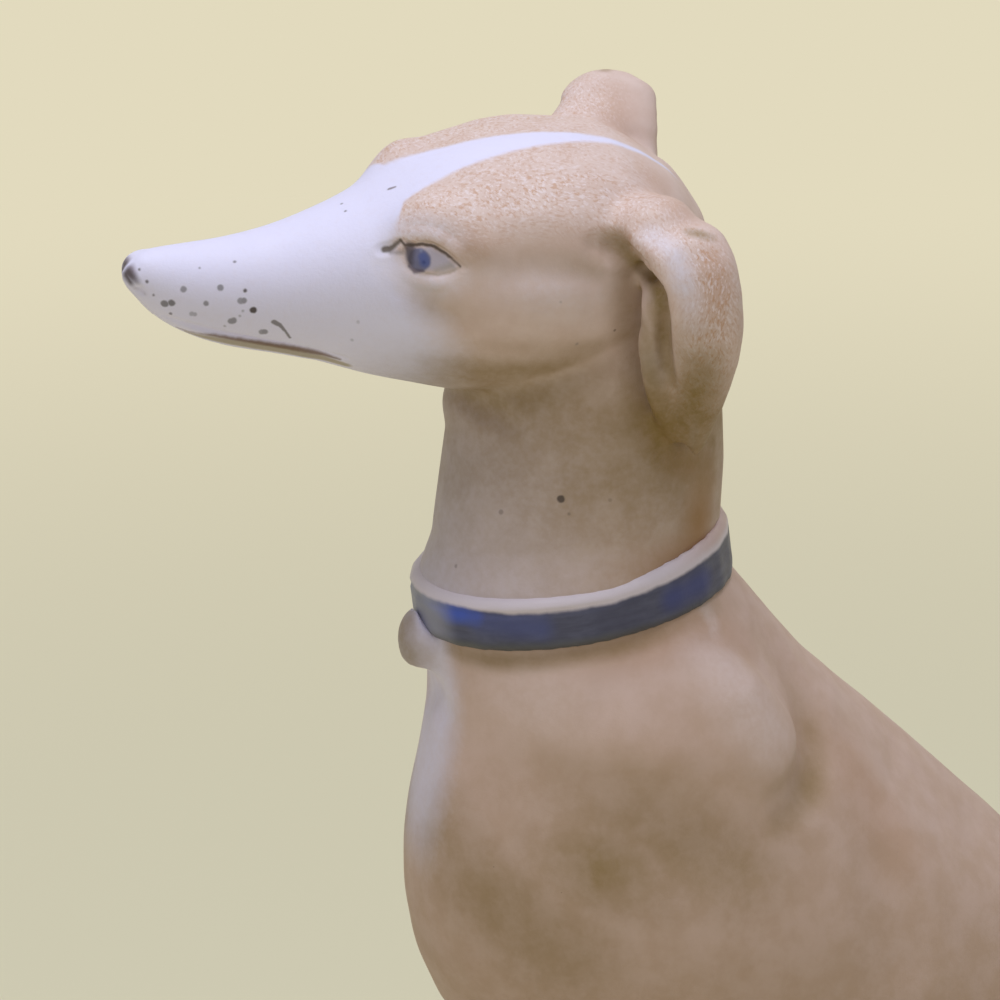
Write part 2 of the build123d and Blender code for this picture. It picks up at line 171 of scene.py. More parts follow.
def remeshed(mesh, voxel):
    # one closed skin of small even quads round everything in the mesh
    holder = bpy.data.objects.new("holder", mesh)
    scene.collection.objects.link(holder)
    remesh = holder.modifiers.new("remesh", "REMESH")
    remesh.mode, remesh.voxel_size = "VOXEL", voxel * mm
    skin = bpy.data.meshes.new_from_object(holder.evaluated_get(bpy.context.evaluated_depsgraph_get()))
    bpy.data.objects.remove(holder)
    return skin


def islandsOf(elements, neighbours):
    left, islands = set(elements), []
    while left:
        island, rim = [], [left.pop()]
        while rim:
            one = rim.pop()
            island.append(one)
            for other in neighbours(one):
                if other in left:
                    left.discard(other)
                    rim.append(other)
        islands.append(island)
    return sorted(islands, key=len, reverse=True)


def keepOuter(mesh):
    # drops the skins of closed cavities
    bm = bmesh.new()
    bm.from_mesh(mesh)
    islands = islandsOf(bm.verts, lambda vert: [edge.other_vert(vert) for edge in vert.link_edges])
    for island in islands[1:]:
        bmesh.ops.delete(bm, geom=island, context="VERTS")
    bm.to_mesh(mesh)
    bm.free()


def evened(places, edges, rounds, share=0.8):
    # each point moves towards the middle of its neighbours, round after round
    first, second = edges.T
    whole = len(places)
    count = np.bincount(edges.ravel(), minlength=whole)[:, None]
    for _ in range(rounds):
        total = np.stack([
            np.bincount(first, column[second], whole) + np.bincount(second, column[first], whole)
            for column in places.T
        ], 1)
        places = places + share * (total / count - places)
    return places


roundsAtVoxel = 2.5  # rounds of evening that spread as far as one voxel


def smoothed(mesh, spread, voxel):
    # evens facets out over a spread in mm, then gives back what that took from thin forms
    places, edges = readPlaces(mesh), readEdges(mesh)
    rounds = max(1, round(roundsAtVoxel * (spread / voxel) ** 2))
    once = evened(places, edges, rounds)
    writePlaces(mesh, 2 * once - evened(once, edges, rounds))


def refined(mesh, zones, rim=0.4, rounds=4):
    # smaller faces where fine modelling follows, with their edges evened
    bm = bmesh.new()
    bm.from_mesh(mesh)
    for centre, reach in zones:
        near = [face for face in bm.faces if (face.calc_center_median() / mm - centre).length < reach]
        edges = {edge for face in near for edge in face.edges}
        bmesh.ops.subdivide_edges(bm, edges=list(edges), cuts=1, use_grid_fill=True)
    big = [face for face in bm.faces if len(face.verts) > 4]
    bmesh.ops.triangulate(bm, faces=big)
    bm.to_mesh(mesh)
    bm.free()
    places, edges = readPlaces(mesh), readEdges(mesh)
    inside = np.zeros((len(places), 1))
    for centre, reach in zones:
        inside[np.linalg.norm(places - np.array(centre), axis=1) < reach + rim] = 1
    writePlaces(mesh, places + inside * (evened(places, edges, rounds) - places))


def treeOf(mesh):
    bm = bmesh.new()
    bm.from_mesh(mesh)
    tree = BVHTree.FromBMesh(bm)
    bm.free()
    return tree


def seen(tree, pixel):
    # the point of the skin that shows at a pixel of the photograph, and its normal
    across, down = pixel[0] - middlePixel, pixel[1] - middlePixel
    sight = (viewRight * across - viewUp * down - viewBack * focalPixels).normalized()
    place, normal = tree.ray_cast(cameraPlace, sight)[:2]
    if place is None:
        # just past the silhouette: the skin nearest to the line of sight
        place = cameraPlace + sight * cameraView["distance"] * mm
        for _ in range(4):
            place, normal = tree.find_nearest(cameraPlace + sight * (place - cameraPlace).dot(sight))[:2]
    return place / mm, normal


def easedPath(points, steps=4):
    if len(points) < 3:
        return np.array(points, float)
    rows = [points[0], *points, points[-1]]
    smooth = []
    for a, b, c, d in zip(rows, rows[1:], rows[2:], rows[3:]):
        a, b, c, d = (np.array(row, float) for row in (a, b, c, d))
        for step in range(steps):
            t = step / steps
            bend = 2 * a - 5 * b + 4 * c - d + t * (3 * b - a - 3 * c + d)
            smooth.append(b + t * (c - a + t * bend) / 2)
    smooth.append(np.array(points[-1], float))
    return np.array(smooth)


def nearPath(places, path):
    # distance to the path, and how far along it the nearest point is
    if len(path) == 1:
        path = np.array([path[0], path[0]])
    gap, along = np.full(len(places), 1e9), np.zeros(len(places))
    for index in range(len(path) - 1):
        run = path[index + 1] - path[index]
        share = np.clip(((places - path[index]) @ run) / max(run @ run, 1e-9), 0, 1)
        here = np.linalg.norm(places - path[index] - share[:, None] * run, axis=1)
        nearer = here < gap
        gap[nearer], along[nearer] = here[nearer], (index + share[nearer]) / (len(path) - 1)
    return gap, along


def placed(tree, path, own, hand):
    # a stroke's points on the skin, on the dog's left (1) or mirrored to its right (-1)
    inverse = own.inverted()
    points, normals = [], []
    for point in path:
        local = inverse @ seen(tree, point)[0] if len(point) == 2 else Vector(point)
        local.x *= hand
        place, normal = tree.find_nearest(own @ local * mm)[:2]
        points.append(place / mm)
        normals.append(normal)
    facing = sum(normals, Vector()).normalized()
    return easedPath(points), np.array(facing)


def stroked(tree, places, normals, stroke, own):
    # how much of a stroke each point gets: full on its path, nothing past its reach
    amount = np.zeros(len(places))
    values = stroke["values"]
    for hand in stroke["hands"]:
        path, facing = placed(tree, stroke["path"], own, hand)
        low, high = path.min(0) - stroke["reach"], path.max(0) + stroke["reach"]
        near = np.flatnonzero(((places > low) & (places < high)).all(1))
        gap, along = nearPath(places[near], path)
        fade = np.clip(1 - (gap / stroke["reach"]) ** 2, 0, 1) ** 2
        # skin that is turned away from the stroke gets none of it
        facings = np.clip((normals[near] @ facing + 0.25) / 0.5, 0, 1)
        amount[near] += fade * facings * np.interp(along, np.linspace(0, 1, len(values)), values)
    return amount


def modelled(mesh, strokes, own):
    # thumb and tool strokes, whose values lift the skin along its normal, in mm
    for stroke in strokes:
        places, normals = readPlaces(mesh), readNormals(mesh)
        lift = stroked(treeOf(mesh), places, normals, stroke, own)
        writePlaces(mesh, places + normals * lift[:, None])


def keepMask(mesh, name, amount):
    layer = mesh.attributes.new(name, "FLOAT", "POINT")
    layer.data.foreach_set("value", np.clip(amount, 0, 1).astype(np.float32))


oneSide = (1,)  # a stroke's hands when only the dog's left gets it


def pressed(path, reach, values, hands=(1, -1)):
    return {"path": path, "reach": reach, "values": values, "hands": hands}


def washed(mask, path, reach, values):
    return {**pressed(path, reach, values), "mask": mask}


def touched(colour, strength, softness, width, path, once=False):
    return {
        "colour": colour, "strength": strength, "softness": softness,
        "width": width, "path": path, "once": once,
    }


headForm = {
    "name": "head",
    "members": ["head_half_left", "head_half_right", "ear_left", "ear_right"],
    "frame": headFrame,
    "plugs": [{"centre": (0, -22.5, 96.4), "tilt": 7.5, "size": (8.6, 10, 3.2)}],
    "fillets": [
        {"centre": (7.9, 10.6, -3.0), "lean": 12, "size": (3.2, 2.2, 3.6)},  # root of each ear
        {"centre": (-7.9, 10.6, -3.0), "lean": -12, "size": (3.2, 2.2, 3.6)},
        {"centre": (-6.3, 8.9, -6.1), "lean": 0, "size": (2.0, 2.0, 2.0)},  # slip behind the right ear
    ],
    "voxel": 0.265,
    "spread": 0.8,
}
bodyForm = {
    "name": "body",
    "members": [
        "body_half_left", "body_half_right", "pendant", "foreleg_left", "foreleg_right",
        "hind_foot_left", "hind_foot_right",
    ],
    "frame": bodyFrame,
    "plugs": [
        {"centre": (0, -22.1, 92.8), "tilt": 7.5, "size": (8.6, 10, 3.2)},
        {"centre": (0, 23.0, 11.0), "tilt": 0, "size": (11.6, 11, 3.2)},
    ],
    "fillets": [],
    "voxel": 0.4,
    "spread": 1.2,
}
plainForm = {"frame": bodyFrame, "plugs": [], "fillets": []}
collarForm = {
    **plainForm, "name": "collar", "members": ["collar"], "frame": collarFrame, "voxel": 0.2, "spread": 0.4,
}
tailForm = {**plainForm, "name": "tail", "members": ["tail"], "voxel": 0.3, "spread": 0.7}
plinthForm = {**plainForm, "name": "plinth", "members": ["base_plinth"], "voxel": 0.5, "spread": 0.6}

# Strokes on the head: pixels of the photograph, or points of the head's own frame in mm
headStrokes = [
    pressed([(4.9, 10.8, 13.9)], 3.4, [0.55]),  # brow over the silhouette
    pressed([(402, 222), (420, 214), (450, 216), (485, 230)], 2.6, [0.2, 0.3, 0.1]),
    pressed([(485, 258), (530, 258), (585, 256)], 3.2, [0, -0.4, -0.3]),  # temple
    pressed([(480, 300), (530, 305), (590, 300)], 5, [0.1, 0.35, 0.2]),  # cheek
    pressed([(392, 262), (405, 285), (428, 302)], 2.2, [-0.2, -0.3, -0.1]),  # under the eye
    pressed([(404, 262), (425, 264), (446, 267)], 2.0, [-0.3]),  # socket
    pressed([(465, 398), (495, 414), (524, 436)], 1.7, [-0.35, -0.4, 0]),  # behind the jaw
    pressed([(444, 390), (452, 402)], 2.6, [0.55, 0.45], oneSide),  # throat
    # under the ear's root
    pressed([(600, 247), (622, 250), (640, 270), (652, 290)], 1.8, [-0.3, -0.8, -1.0, -0.5]),
    pressed([(646, 268), (657, 284), (662, 312), (664, 350), (672, 392)], 0.9,
        [-0.5, -0.9, -0.9, -0.7, 0]),  # fold of the ear
    pressed([(637, 300), (641, 345), (650, 390), (668, 430)], 0.9, [0.1, 0.2, 0.15, 0]),
    pressed([(690, 225), (715, 250), (722, 290), (716, 340)], 3.2, [0.1, 0.3, 0.3, 0.1]),
    pressed([(455, 128), (500, 118), (545, 113)], 5.0, [-0.45], oneSide),  # crown
    pressed([(592, 76)], 2.8, [0.35], oneSide),  # top of the far ear
    pressed([(650, 80)], 2.6, [-0.5], oneSide),  # and its back
    pressed([(0, 3.2, 37.0)], 2.4, [0.5], oneSide),  # tip of the nose
    pressed([(127, 258)], 2.0, [0.65], oneSide),
    pressed([(124, 288), (134, 298)], 1.9, [-0.4, -0.2], oneSide),
    pressed([(152, 309), (171, 320), (193, 330), (216, 338), (249, 346), (299, 354)], 2.2,
        [0.2, 0.3, 0.3, 0.22, 0.15]),  # lower lip
]
# Where the head's skin is made finer, in its own frame, and how far round
eyeZones = {"places": [(7.0, 8.4, 14.4), (-7.0, 8.4, 14.4)], "reaches": [5.2, 4.6]}
mouthZones = {"places": [(3.4, 0.4, 26.0), (-3.4, 0.4, 26.0)], "reaches": [8.0]}
eyeStrokes = [
    pressed([(422, 259)], 1.7, [0.34]),  # eyeball
    pressed([(398, 236), (411, 236), (424, 236), (437, 239), (449, 247), (460, 258), (470, 267)], 0.9,
        [0, 0.13, 0.2, 0.15, 0]),
    pressed([(390, 246), (401, 241), (412, 245), (423, 244), (434, 246), (446, 253), (456, 262),
        (464, 268)], 0.4, [-0.04, -0.14, -0.16, -0.14, -0.05]),
    pressed([(394, 264), (407, 273), (419, 281), (432, 283), (446, 282), (461, 273)], 0.8,
        [0, 0.12, 0.15, 0.04]),
    pressed([(400, 262), (412, 271), (426, 275), (440, 275), (455, 270)], 0.4, [0, -0.08, -0.08, 0]),
    pressed([(381, 250), (388, 249), (396, 245)], 0.7, [-0.12, -0.22, -0.05]),
]
mouthStrokes = [
    pressed([(1.6, 2.6, 33.2), (2.2, 1.9, 31.6), (3.0, 0.9, 28.6), (3.6, 0.2, 26.0), (4.3, -0.5, 22.8),
        (4.8, -1.2, 19.6)], 0.45, [-0.05, -0.25, -0.38, -0.38, -0.1]),
    pressed([(1.3, 4.2, 35.0)], 0.6, [-0.3]),
]

# Strokes on the body: pixels, or points of the part's own frame in mm
bodyStrokes = [
    pressed([(700, 650), (740, 695), (765, 740)], 5.5, [0.3, 0.9, 0.6]),  # shoulder blade
    pressed([(750, 620), (792, 675), (812, 730), (806, 785), (770, 822)], 3.0,
        [0, -0.7, -1.0, -0.8, -0.2]),  # crease behind it
    pressed([(480, 790), (560, 808), (640, 828), (720, 832), (770, 815)], 7.0,
        [-0.2, -0.8, -1.1, -0.9, -0.2]),  # hollow below it
    pressed([(500, 700), (580, 715), (650, 735)], 6.0, [0.3, 0.7, 0.3]),
    pressed([(620, 930), (720, 950), (800, 940)], 7.5, [0.2, 0.5, 0.3]),
    pressed([(862, 760), (882, 860), (900, 960)], 4.5, [0, -0.5, -0.4]),
    pressed([(850, 682), (925, 738), (995, 788)], 9.0, [-0.2, -1.2, -0.9], oneSide),  # line of the back
    pressed([(425, 668), (428, 690)], 2.4, [-0.4]),  # throat below the pendant
]
pawStrokes = [
    pressed([(x, -25.0, 14.6), (x, -28.4, 13.2), (x, -31.0, 11.2)], 0.9, [0, -0.6, -0.7])
    for x in (7.7, 10.1, 12.5)
] + [
    pressed([(x, -4.6, 14.6), (x, -8.6, 13.4), (x, -11.6, 11.0)], 0.9, [0, -0.6, -0.7])
    for x in (15.2, 17.5, 19.8)
]
# Line between the collar's rim and its band, drawn round it just off the skin
lineAt = {"height": 1.15, "off": 0.2}
collarStrokes = [pressed([
    (
        (collarPlace["halfWidth"] + lineAt["off"]) * math.sin(math.radians(turn)),
        -(collarPlace["halfDepth"] + lineAt["off"]) * math.cos(math.radians(turn)),
        lineAt["height"],
    )
    for turn in range(0, 361, 15)
], 0.45, [-0.14], oneSide)]

# The neck widens above the collar between two heights of its frame, less so behind its middle
neckFoot = {"flare": 0.85, "from": 1.2, "to": 5.6, "behind": 9}
collarBack = {"rise": 1.4}  # how much higher the band stands at the nape
collarAxes = np.array(collarFrame.to_3x3())


def flareNeck(mesh):
    places = readPlaces(mesh)
    local = inFrame(places, collarFrame)
    share = 1 - softStep(local[:, 2], neckFoot["from"], neckFoot["to"])
    share *= 1 - softStep(local[:, 1], 0, neckFoot["behind"])
    outward = collarAxes @ np.vstack([local[:, :2].T, np.zeros(len(places))])
    outward /= np.maximum(np.linalg.norm(outward, axis=0), 1e-6)
    writePlaces(mesh, places + (outward * share * neckFoot["flare"]).T)


def raiseCollar(mesh):
    places = readPlaces(mesh)
    local = inFrame(places, collarFrame)
    half = collarPlace["halfHeight"]
    share = np.clip(local[:, 1] / collarPlace["halfDepth"], 0, 1)
    share *= np.clip((local[:, 2] + half) / (2 * half), 0, 1)
    writePlaces(mesh, places + share[:, None] * collarAxes[:, 2] * collarBack["rise"])


def skinOf(form):
    skin = remeshed(gathered(form), form["voxel"])
    if len(form["members"]) > 1:
        keepOuter(skin)
    smoothed(skin, form["spread"], form["voxel"])
    form["skin"] = skin
    print(form["name"], "skin:", len(skin.vertices), "points")
    return skin


headSkin = skinOf(headForm)
flareNeck(headSkin)
modelled(headSkin, headStrokes, headFrame)
for zones in (eyeZones, mouthZones):
    for reach in zones["reaches"]:
        refined(headSkin, [(headFrame @ Vector(place), reach) for place in zones["places"]])
modelled(headSkin, eyeStrokes + mouthStrokes, headFrame)
print("head modelled:", len(headSkin.vertices), "points")

bodySkin = skinOf(bodyForm)
modelled(bodySkin, bodyStrokes + pawStrokes, bodyFrame)
print("body modelled:", len(bodySkin.vertices), "points")

for form in (collarForm, tailForm, plinthForm):
    skinOf(form)
modelled(collarForm["skin"], collarStrokes, collarFrame)
raiseCollar(collarForm["skin"])

# Washes of paint: soft strokes kept as masks on the skin, in pixels of the photograph. The olive washes are
# mostly painted shade, some pale ones painted highlight
headWashes = [
    washed("hair", [(410, 222), (450, 205), (520, 190), (590, 190), (640, 205)], 5.5,
        [0.9, 1.0, 1.0, 0.8]),
    washed("hair", [(440, 185), (500, 165), (570, 150), (630, 165)], 4.5, [0.6, 0.8, 0.6, 0.4]),
    washed("hair", [(640, 235), (690, 250), (715, 300), (705, 370), (692, 430)], 4.2,
        [0.8, 1.0, 1.0, 0.7]),
    # bare band over the eye
    washed("pale", [(388, 236), (412, 227), (440, 231), (470, 246)], 1.7, [0.5, 0.6, 0.5, 0.1]),
    # under the eye
    washed("pale", [(385, 262), (405, 278), (432, 286), (462, 280)], 2.0, [0.7, 0.8, 0.7, 0.3]),
    # painted highlight on the cheek
    washed("pale", [(500, 285), (550, 292), (590, 300)], 3.4, [0.2, 0.35, 0.2]),
    washed("pale", [(650, 236), (664, 243), (677, 257), (684, 285), (690, 300), (694, 325)], 1.5,
        [0.55, 0.6, 0.75, 0.75, 0.5, 0.3]),  # paler along the fold of the ear
    washed("pale", [(693, 418), (694, 434), (692, 447)], 0.6, [0.3, 0.6, 0.4]),
    washed("pale", [(652, 360), (656, 375)], 1.6, [0.35]),
    # olive washes: painted shade under the ear, in its groove and fold, under the eye, in the temple, on the
    # jaw and on the neck under it, with some soil
    washed("shadeAndSoil", [(690, 232), (700, 234), (711, 237)], 0.8, [0.5, 0.8, 0.4]),
    washed("shadeAndSoil", [(596, 246), (619, 245), (638, 262), (655, 277), (661, 300), (661, 345)], 1.7,
        [0.2, 0.8, 0.9, 1.0, 1.0, 0.6]),  # painted shade in the groove under the root and in the fold
    washed("shadeAndSoil", [(622, 262), (630, 300), (638, 350), (648, 400), (668, 440)], 3.0,
        [0.5, 0.5, 0.6, 0.9, 0.9]),  # painted shade on the neck beside the ear
    washed("shadeAndSoil", [(690, 345), (700, 380), (692, 415), (690, 445)], 3.4, [0.35, 0.95, 1.0, 0.8]),
    # painted shade on the jaw, and on the neck under it
    washed("shadeAndSoil", [(440, 366), (480, 371), (530, 371), (590, 356)], 2.6, [0.3, 0.55, 0.55, 0.3]),
    washed("shadeAndSoil", [(460, 392), (500, 396), (560, 388), (610, 366)], 2.4, [0.4, 0.5, 0.5, 0.3]),
    washed("shadeAndSoil", [(708, 436), (714, 442)], 0.7, [0.8]),
    washed("shadeAndSoil", [(658, 292), (662, 330), (668, 365), (682, 395)], 2.0, [0.7, 0.95, 0.9, 0.6]),
    washed("shadeAndSoil", [(643, 325), (650, 365), (662, 410)], 2.3, [0.6, 0.85, 0.85]),
    washed("shadeAndSoil", [(404, 290), (432, 305), (470, 318)], 2.4, [0.15, 0.4, 0.1]),
    washed("shadeAndSoil", [(470, 258), (500, 262), (560, 262), (600, 268)], 1.8, [0.35, 0.3, 0.4, 0.5]),
    washed("rust", [(648, 400), (665, 440), (690, 465), (708, 440)], 2.6, [0.3, 0.6, 0.7, 0.4]),
    washed("rust", [(704, 470), (700, 515), (696, 545), (660, 572), (630, 583)], 3.4,
        [0.6, 1.0, 1.0, 0.7, 0.2]),
    washed("rust", [(470, 245), (500, 250), (540, 250)], 2.0, [0.4, 0.2, 0]),
    washed("rust", [(655, 180), (680, 205)], 3.0, [0.35]),
    washed("rust", [(712, 262), (716, 300), (712, 330)], 2.2, [0.5, 0.4, 0.2]),
]
bodyWashes = [
    # the next two pale washes are painted highlights on the shoulder blade and on the bulge in front of it
    washed("pale", [(712, 655), (740, 695), (770, 735), (785, 762)], 4.5, [0.3, 0.5, 0.5, 0.2]),
    washed("pale", [(470, 690), (540, 705), (600, 720)], 5.5, [0.1, 0.35, 0.1]),
    washed("pale", [(704, 606), (712, 622), (716, 640)], 1.2, [0.6, 0.6, 0.3]),
    # olive washes: painted shade in the crease behind the shoulder blade, the hollow below it, the lower
    # chest and the throat, with some soil
    washed("shadeAndSoil", [(790, 680), (812, 725), (808, 790), (770, 835)], 2.8, [0.1, 0.5, 0.7, 0.4]),
    washed("shadeAndSoil", [(520, 800), (600, 820), (680, 850), (740, 865), (780, 840)], 6.5,
        [0.2, 0.5, 0.65, 0.6, 0.2]),
    washed("shadeAndSoil", [(450, 850), (500, 900), (560, 950)], 7.5, [0.45, 0.6, 0.45]),
    washed("shadeAndSoil", [(540, 850), (600, 865), (660, 875)], 6.0, [0.4, 0.85, 0.5]),
    washed("shadeAndSoil", [(450, 648), (490, 660), (550, 660), (640, 642), (715, 605)], 1.3,
        [0.5, 0.7, 0.6, 0.5, 0.3]),  # painted shade and dirt under the collar
    washed("shadeAndSoil", [(404, 630), (412, 655)], 4.0, [0.45, 0.55]),
    washed("rust", [(560, 665), (640, 655), (700, 630), (740, 645)], 3.0, [0.1, 0.3, 0.4, 0.2]),
    washed("rust", [(820, 740), (860, 780), (900, 850)], 5.0, [0.2, 0.3, 0.2]),
]


# Edges of the fawn coat on the head: the blaze's half width by distance forward, then how far
# forward the coat comes by height and how soft its edge is there
blaze = {
    "forward": [-8.8, -6.4, -0.5, 7.6, 11.0, 13.2, 15.2, 15.9],
    "halfWidth": [-0.5, 0.1, 0.45, 1.6, 2.0, 2.4, 2.9, 4.1],
}
cheekEdge = {
    "height": [-4, -2, 1, 4.2, 6.5, 9.0, 10.5],
    "forward": [11.5, 12, 12.2, 13.8, 16.0, 16.4, 16.0],
    "softness": [3.2, 3.2, 3.2, 2.8, 1.6, 0.6, 0.35],
}
blazeFloor = 6  # the blaze runs above this height of the head's frame
# How much of the coat is left on the throat and the nape, and how bare the white places are
coatLook = {"throat": 0.45, "nape": 0.9, "strip": 0.75, "paws": 0.55, "drop": 0.85}
stripHalfWidth = 4.2
# How strong the olive tone is, painted shade with some soil: jaw, collar's edge, throat and nape above it,
# foot of the body, undersides
shadeAndSoilLook = {"jaw": 0.7, "collar": 0.42, "throat": 0.63, "nape": 0.8, "low": 0.4, "under": 0.5}


def coatOfHead(places):
    own = inFrame(places, headFrame)
    aside, up, forward = np.abs(own[:, 0]), own[:, 1], own[:, 2]
    halfWidth = np.interp(forward, blaze["forward"], blaze["halfWidth"])
    border = np.interp(up, cheekEdge["height"], cheekEdge["forward"])
    softness = np.interp(up, cheekEdge["height"], cheekEdge["softness"])
    coat = np.where(up > blazeFloor, softStep(aside, halfWidth - 0.2, halfWidth + 0.5), 1)
    coat *= softStep(border - forward, -softness, softness)
    # the coat thins down the front of the neck
    neck = softStep(116 - places[:, 2], 0, 12)  # from the height of the jaw down
    thin = coatLook["throat"] + (coatLook["nape"] - coatLook["throat"]) * softStep(places[:, 1], -34, -20)
    return coat * (1 - neck * (1 - thin))


def coatOfBody(places):
    # bare white strip down the middle of the chest, and pale toes
    strip = softStep(stripHalfWidth - np.abs(places[:, 0]), -2.2, 2.4)
    height = softStep(places[:, 2], 69, 77) * softStep(90 - places[:, 2], -2, 5)
    height *= softStep(-places[:, 1], 20, 26)
    forePaws = softStep(-21 - places[:, 1], 0, 4)
    hindPaws = softStep(-3 - places[:, 1], 0, 4) * softStep(np.abs(places[:, 0]) - 13.5, 0, 1.5)
    paws = softStep(16 - places[:, 2], 0, 5) * np.maximum(forePaws, hindPaws)
    drop = softStep(-places[:, 1], 32.8, 34.2) * softStep(places[:, 2], 84, 86.5)
    bare = ((strip * height, coatLook["strip"]), (paws, coatLook["paws"]), (drop, coatLook["drop"]))
    return np.prod([1 - share * strength for share, strength in bare], axis=0)


def shadeAndSoilOfHead(places, normals):
    # olive tone, painted shade with some soil, that gathers from the cheek to the jaw and over the neck, less
    # beside the collar, and painted shade on skin that faces down
    look = shadeAndSoilLook
    own = inFrame(places, headFrame)
    jaw = softStep(1.5 - own[:, 1], 0, 6) * softStep(15.5 - own[:, 2], 0, 6) * softStep(own[:, 1], -12, -6)
    foot = softStep(inFrame(places, collarFrame)[:, 2], 2, 12)
    back = softStep(places[:, 1], -32, -18)
    above = look["throat"] + (look["nape"] - look["throat"]) * back
    neck = softStep(115 - places[:, 2], 0, 6) * (look["collar"] + (above - look["collar"]) * foot)
    under = softStep(-normals[:, 2], 0.2, 0.9) * softStep(14 - own[:, 2], -8, 4)
    return np.maximum(look["jaw"] * np.maximum(jaw, under), neck)


def shadeAndSoilOfBody(places, normals):
    # the same tone towards the figure's foot and on skin that faces down, painted shade with some soil, but
    # not on the pendant
    low = softStep(84 - places[:, 2], 0, 30)
    under = softStep(-normals[:, 2], -0.2, 0.8) * softStep(86 - places[:, 2], 0, 4)
    return np.maximum(shadeAndSoilLook["low"] * low, shadeAndSoilLook["under"] * under)


def painted(form, washes, coat, tone):
    mesh = form["skin"]
    tree, places, normals = treeOf(mesh), readPlaces(mesh), readNormals(mesh)
    masks = {name: np.zeros(len(places)) for name in ("hair", "pale", "shadeAndSoil", "rust")}
    for wash in washes:
        amount = stroked(tree, places, normals, wash, form["frame"])
        masks[wash["mask"]] = np.maximum(masks[wash["mask"]], amount)
    masks["shadeAndSoil"] = 1 - (1 - np.clip(masks["shadeAndSoil"], 0, 1)) * (1 - tone(places, normals))
    for name, amount in masks.items():
        keepMask(mesh, name, amount)
    keepMask(mesh, "coat", coat(places))
    form["tree"] = tree
    print(form["name"], "painted:", len(washes), "washes")


def cutOnMiddle(form):
    # parts faces along the seam of the two pressed halves
    bm = bmesh.new()
    bm.from_mesh(form["skin"])
    own = form["frame"]
    bmesh.ops.bisect_plane(
        bm, geom=[*bm.verts, *bm.edges, *bm.faces], dist=0.03 * mm,
        plane_co=own.translation * mm, plane_no=own.to_3x3() @ Vector((1, 0, 0)),
    )
    bm.to_mesh(form["skin"])
    bm.free()


def facePairs(mesh):
    # the two faces at each edge
    edgeOf = readRows(mesh.loops, "edge_index", kind=np.int32)
    corners = readRows(mesh.polygons, "loop_total", kind=np.int32)
    faceOf = np.repeat(np.arange(len(corners)), corners)
    order = np.argsort(edgeOf, kind="stable")
    edges, faces = edgeOf[order], faceOf[order]
    twin = edges[1:] == edges[:-1]
    return faces[:-1][twin], faces[1:][twin]


def nearestNodes(mesh, members):
    # the CAD node that lies nearest to each face
    corners, facets, owners = [], [], []
    for index, name in enumerate(members):
        source = nodes[name].data
        first = len(corners)
        corners += [vertex.co.copy() for vertex in source.vertices]
        facets += [[first + corner for corner in polygon.vertices] for polygon in source.polygons]
        owners += [index] * len(source.polygons)
    tree = BVHTree.FromPolygons(corners, facets)
    return np.array([owners[tree.find_nearest(polygon.center)[2]] for polygon in mesh.polygons])


def shared(form):
    # which member each face belongs to, with even borders and no strays
    mesh, members = form["skin"], form["members"]
    owner = nearestNodes(mesh, members)
    # the two halves count as one member until the end, when the middle plane parts them
    owner[owner == 1] = 0
    first, second = facePairs(mesh)
    for _ in range(8):
        votes = np.zeros((len(members), len(owner)))
        votes[owner, np.arange(len(owner))] = 0.5
        for here, there in ((first, second), (second, first)):
            for kind in range(len(members)):
                votes[kind] += np.bincount(here[owner[there] == kind], minlength=len(owner))
        owner = votes.argmax(0)
    around = [[] for _ in owner]
    for one, other in zip(first.tolist(), second.tolist()):
        around[one].append(other)
        around[other].append(one)
    for kind in range(len(members)):
        mine = np.flatnonzero(owner == kind).tolist()
        if not mine:
            continue
        for island in islandsOf(mine, lambda face: around[face])[1:]:
            beside = {owner[other] for face in island for other in around[face]} - {kind}
            owner[island] = min(beside)
    centres = readRows(mesh.polygons, "center", 3).astype(float) / mm
    aside = inFrame(centres, form["frame"])[:, 0]
    owner[(owner == 0) & (aside < 0)] = 1
    return owner


lipDepth = 0.4  # how far a piece's rim turns in before it closes, in mm


def closedPiece(mesh, owner, kind):
    # one member's share of the skin, turned in and closed where it meets its neighbours
    bm = bmesh.new()
    bm.from_mesh(mesh)
    bm.faces.ensure_lookup_table()
    others = [bm.faces[index] for index in np.flatnonzero(owner != kind)]
    bmesh.ops.delete(bm, geom=others, context="FACES")
    for vert in list(bm.verts):
        rim = [edge for edge in vert.link_edges if edge.is_boundary]
        if len(rim) > 2:
            bmesh.utils.vert_separate(vert, rim)
    outward = bm.verts.layers.float_vector["skinNormal"]
    rims = [edge for edge in bm.edges if edge.is_boundary]
    for lip in bmesh.ops.extrude_edge_only(bm, edges=rims)["geom"]:
        if isinstance(lip, bmesh.types.BMVert):
            lip.co -= lip[outward] * lipDepth * mm
    rims = [edge for edge in bm.edges if edge.is_boundary]
    caps = bmesh.ops.holes_fill(bm, edges=rims, sides=0)["faces"]
    bmesh.ops.triangulate(bm, faces=caps)
    bmesh.ops.recalc_face_normals(bm, faces=bm.faces)
    if bm.calc_volume(signed=True) < 0:
        bmesh.ops.reverse_faces(bm, faces=bm.faces)
    for face in bm.faces:
        face.smooth = True
    openEdges = sum(edge.is_boundary for edge in bm.edges)
    piece = bpy.data.meshes.new("piece")
    bm.to_mesh(piece)
    bm.free()
    return piece, openEdges


slotOf = {row["node"]: row["material_slot"] for row in frame["record"]["subparts"]}


def dressed(name, mesh, node):
    thing = bpy.data.objects.new(name, mesh)
    mesh.name = name
    scene.collection.objects.link(thing)
    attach(thing, "root")
    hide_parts(node)
    slot = slotOf[node]
    mesh.materials.clear()
    mesh.materials.append(finishes[slot])
    return thing


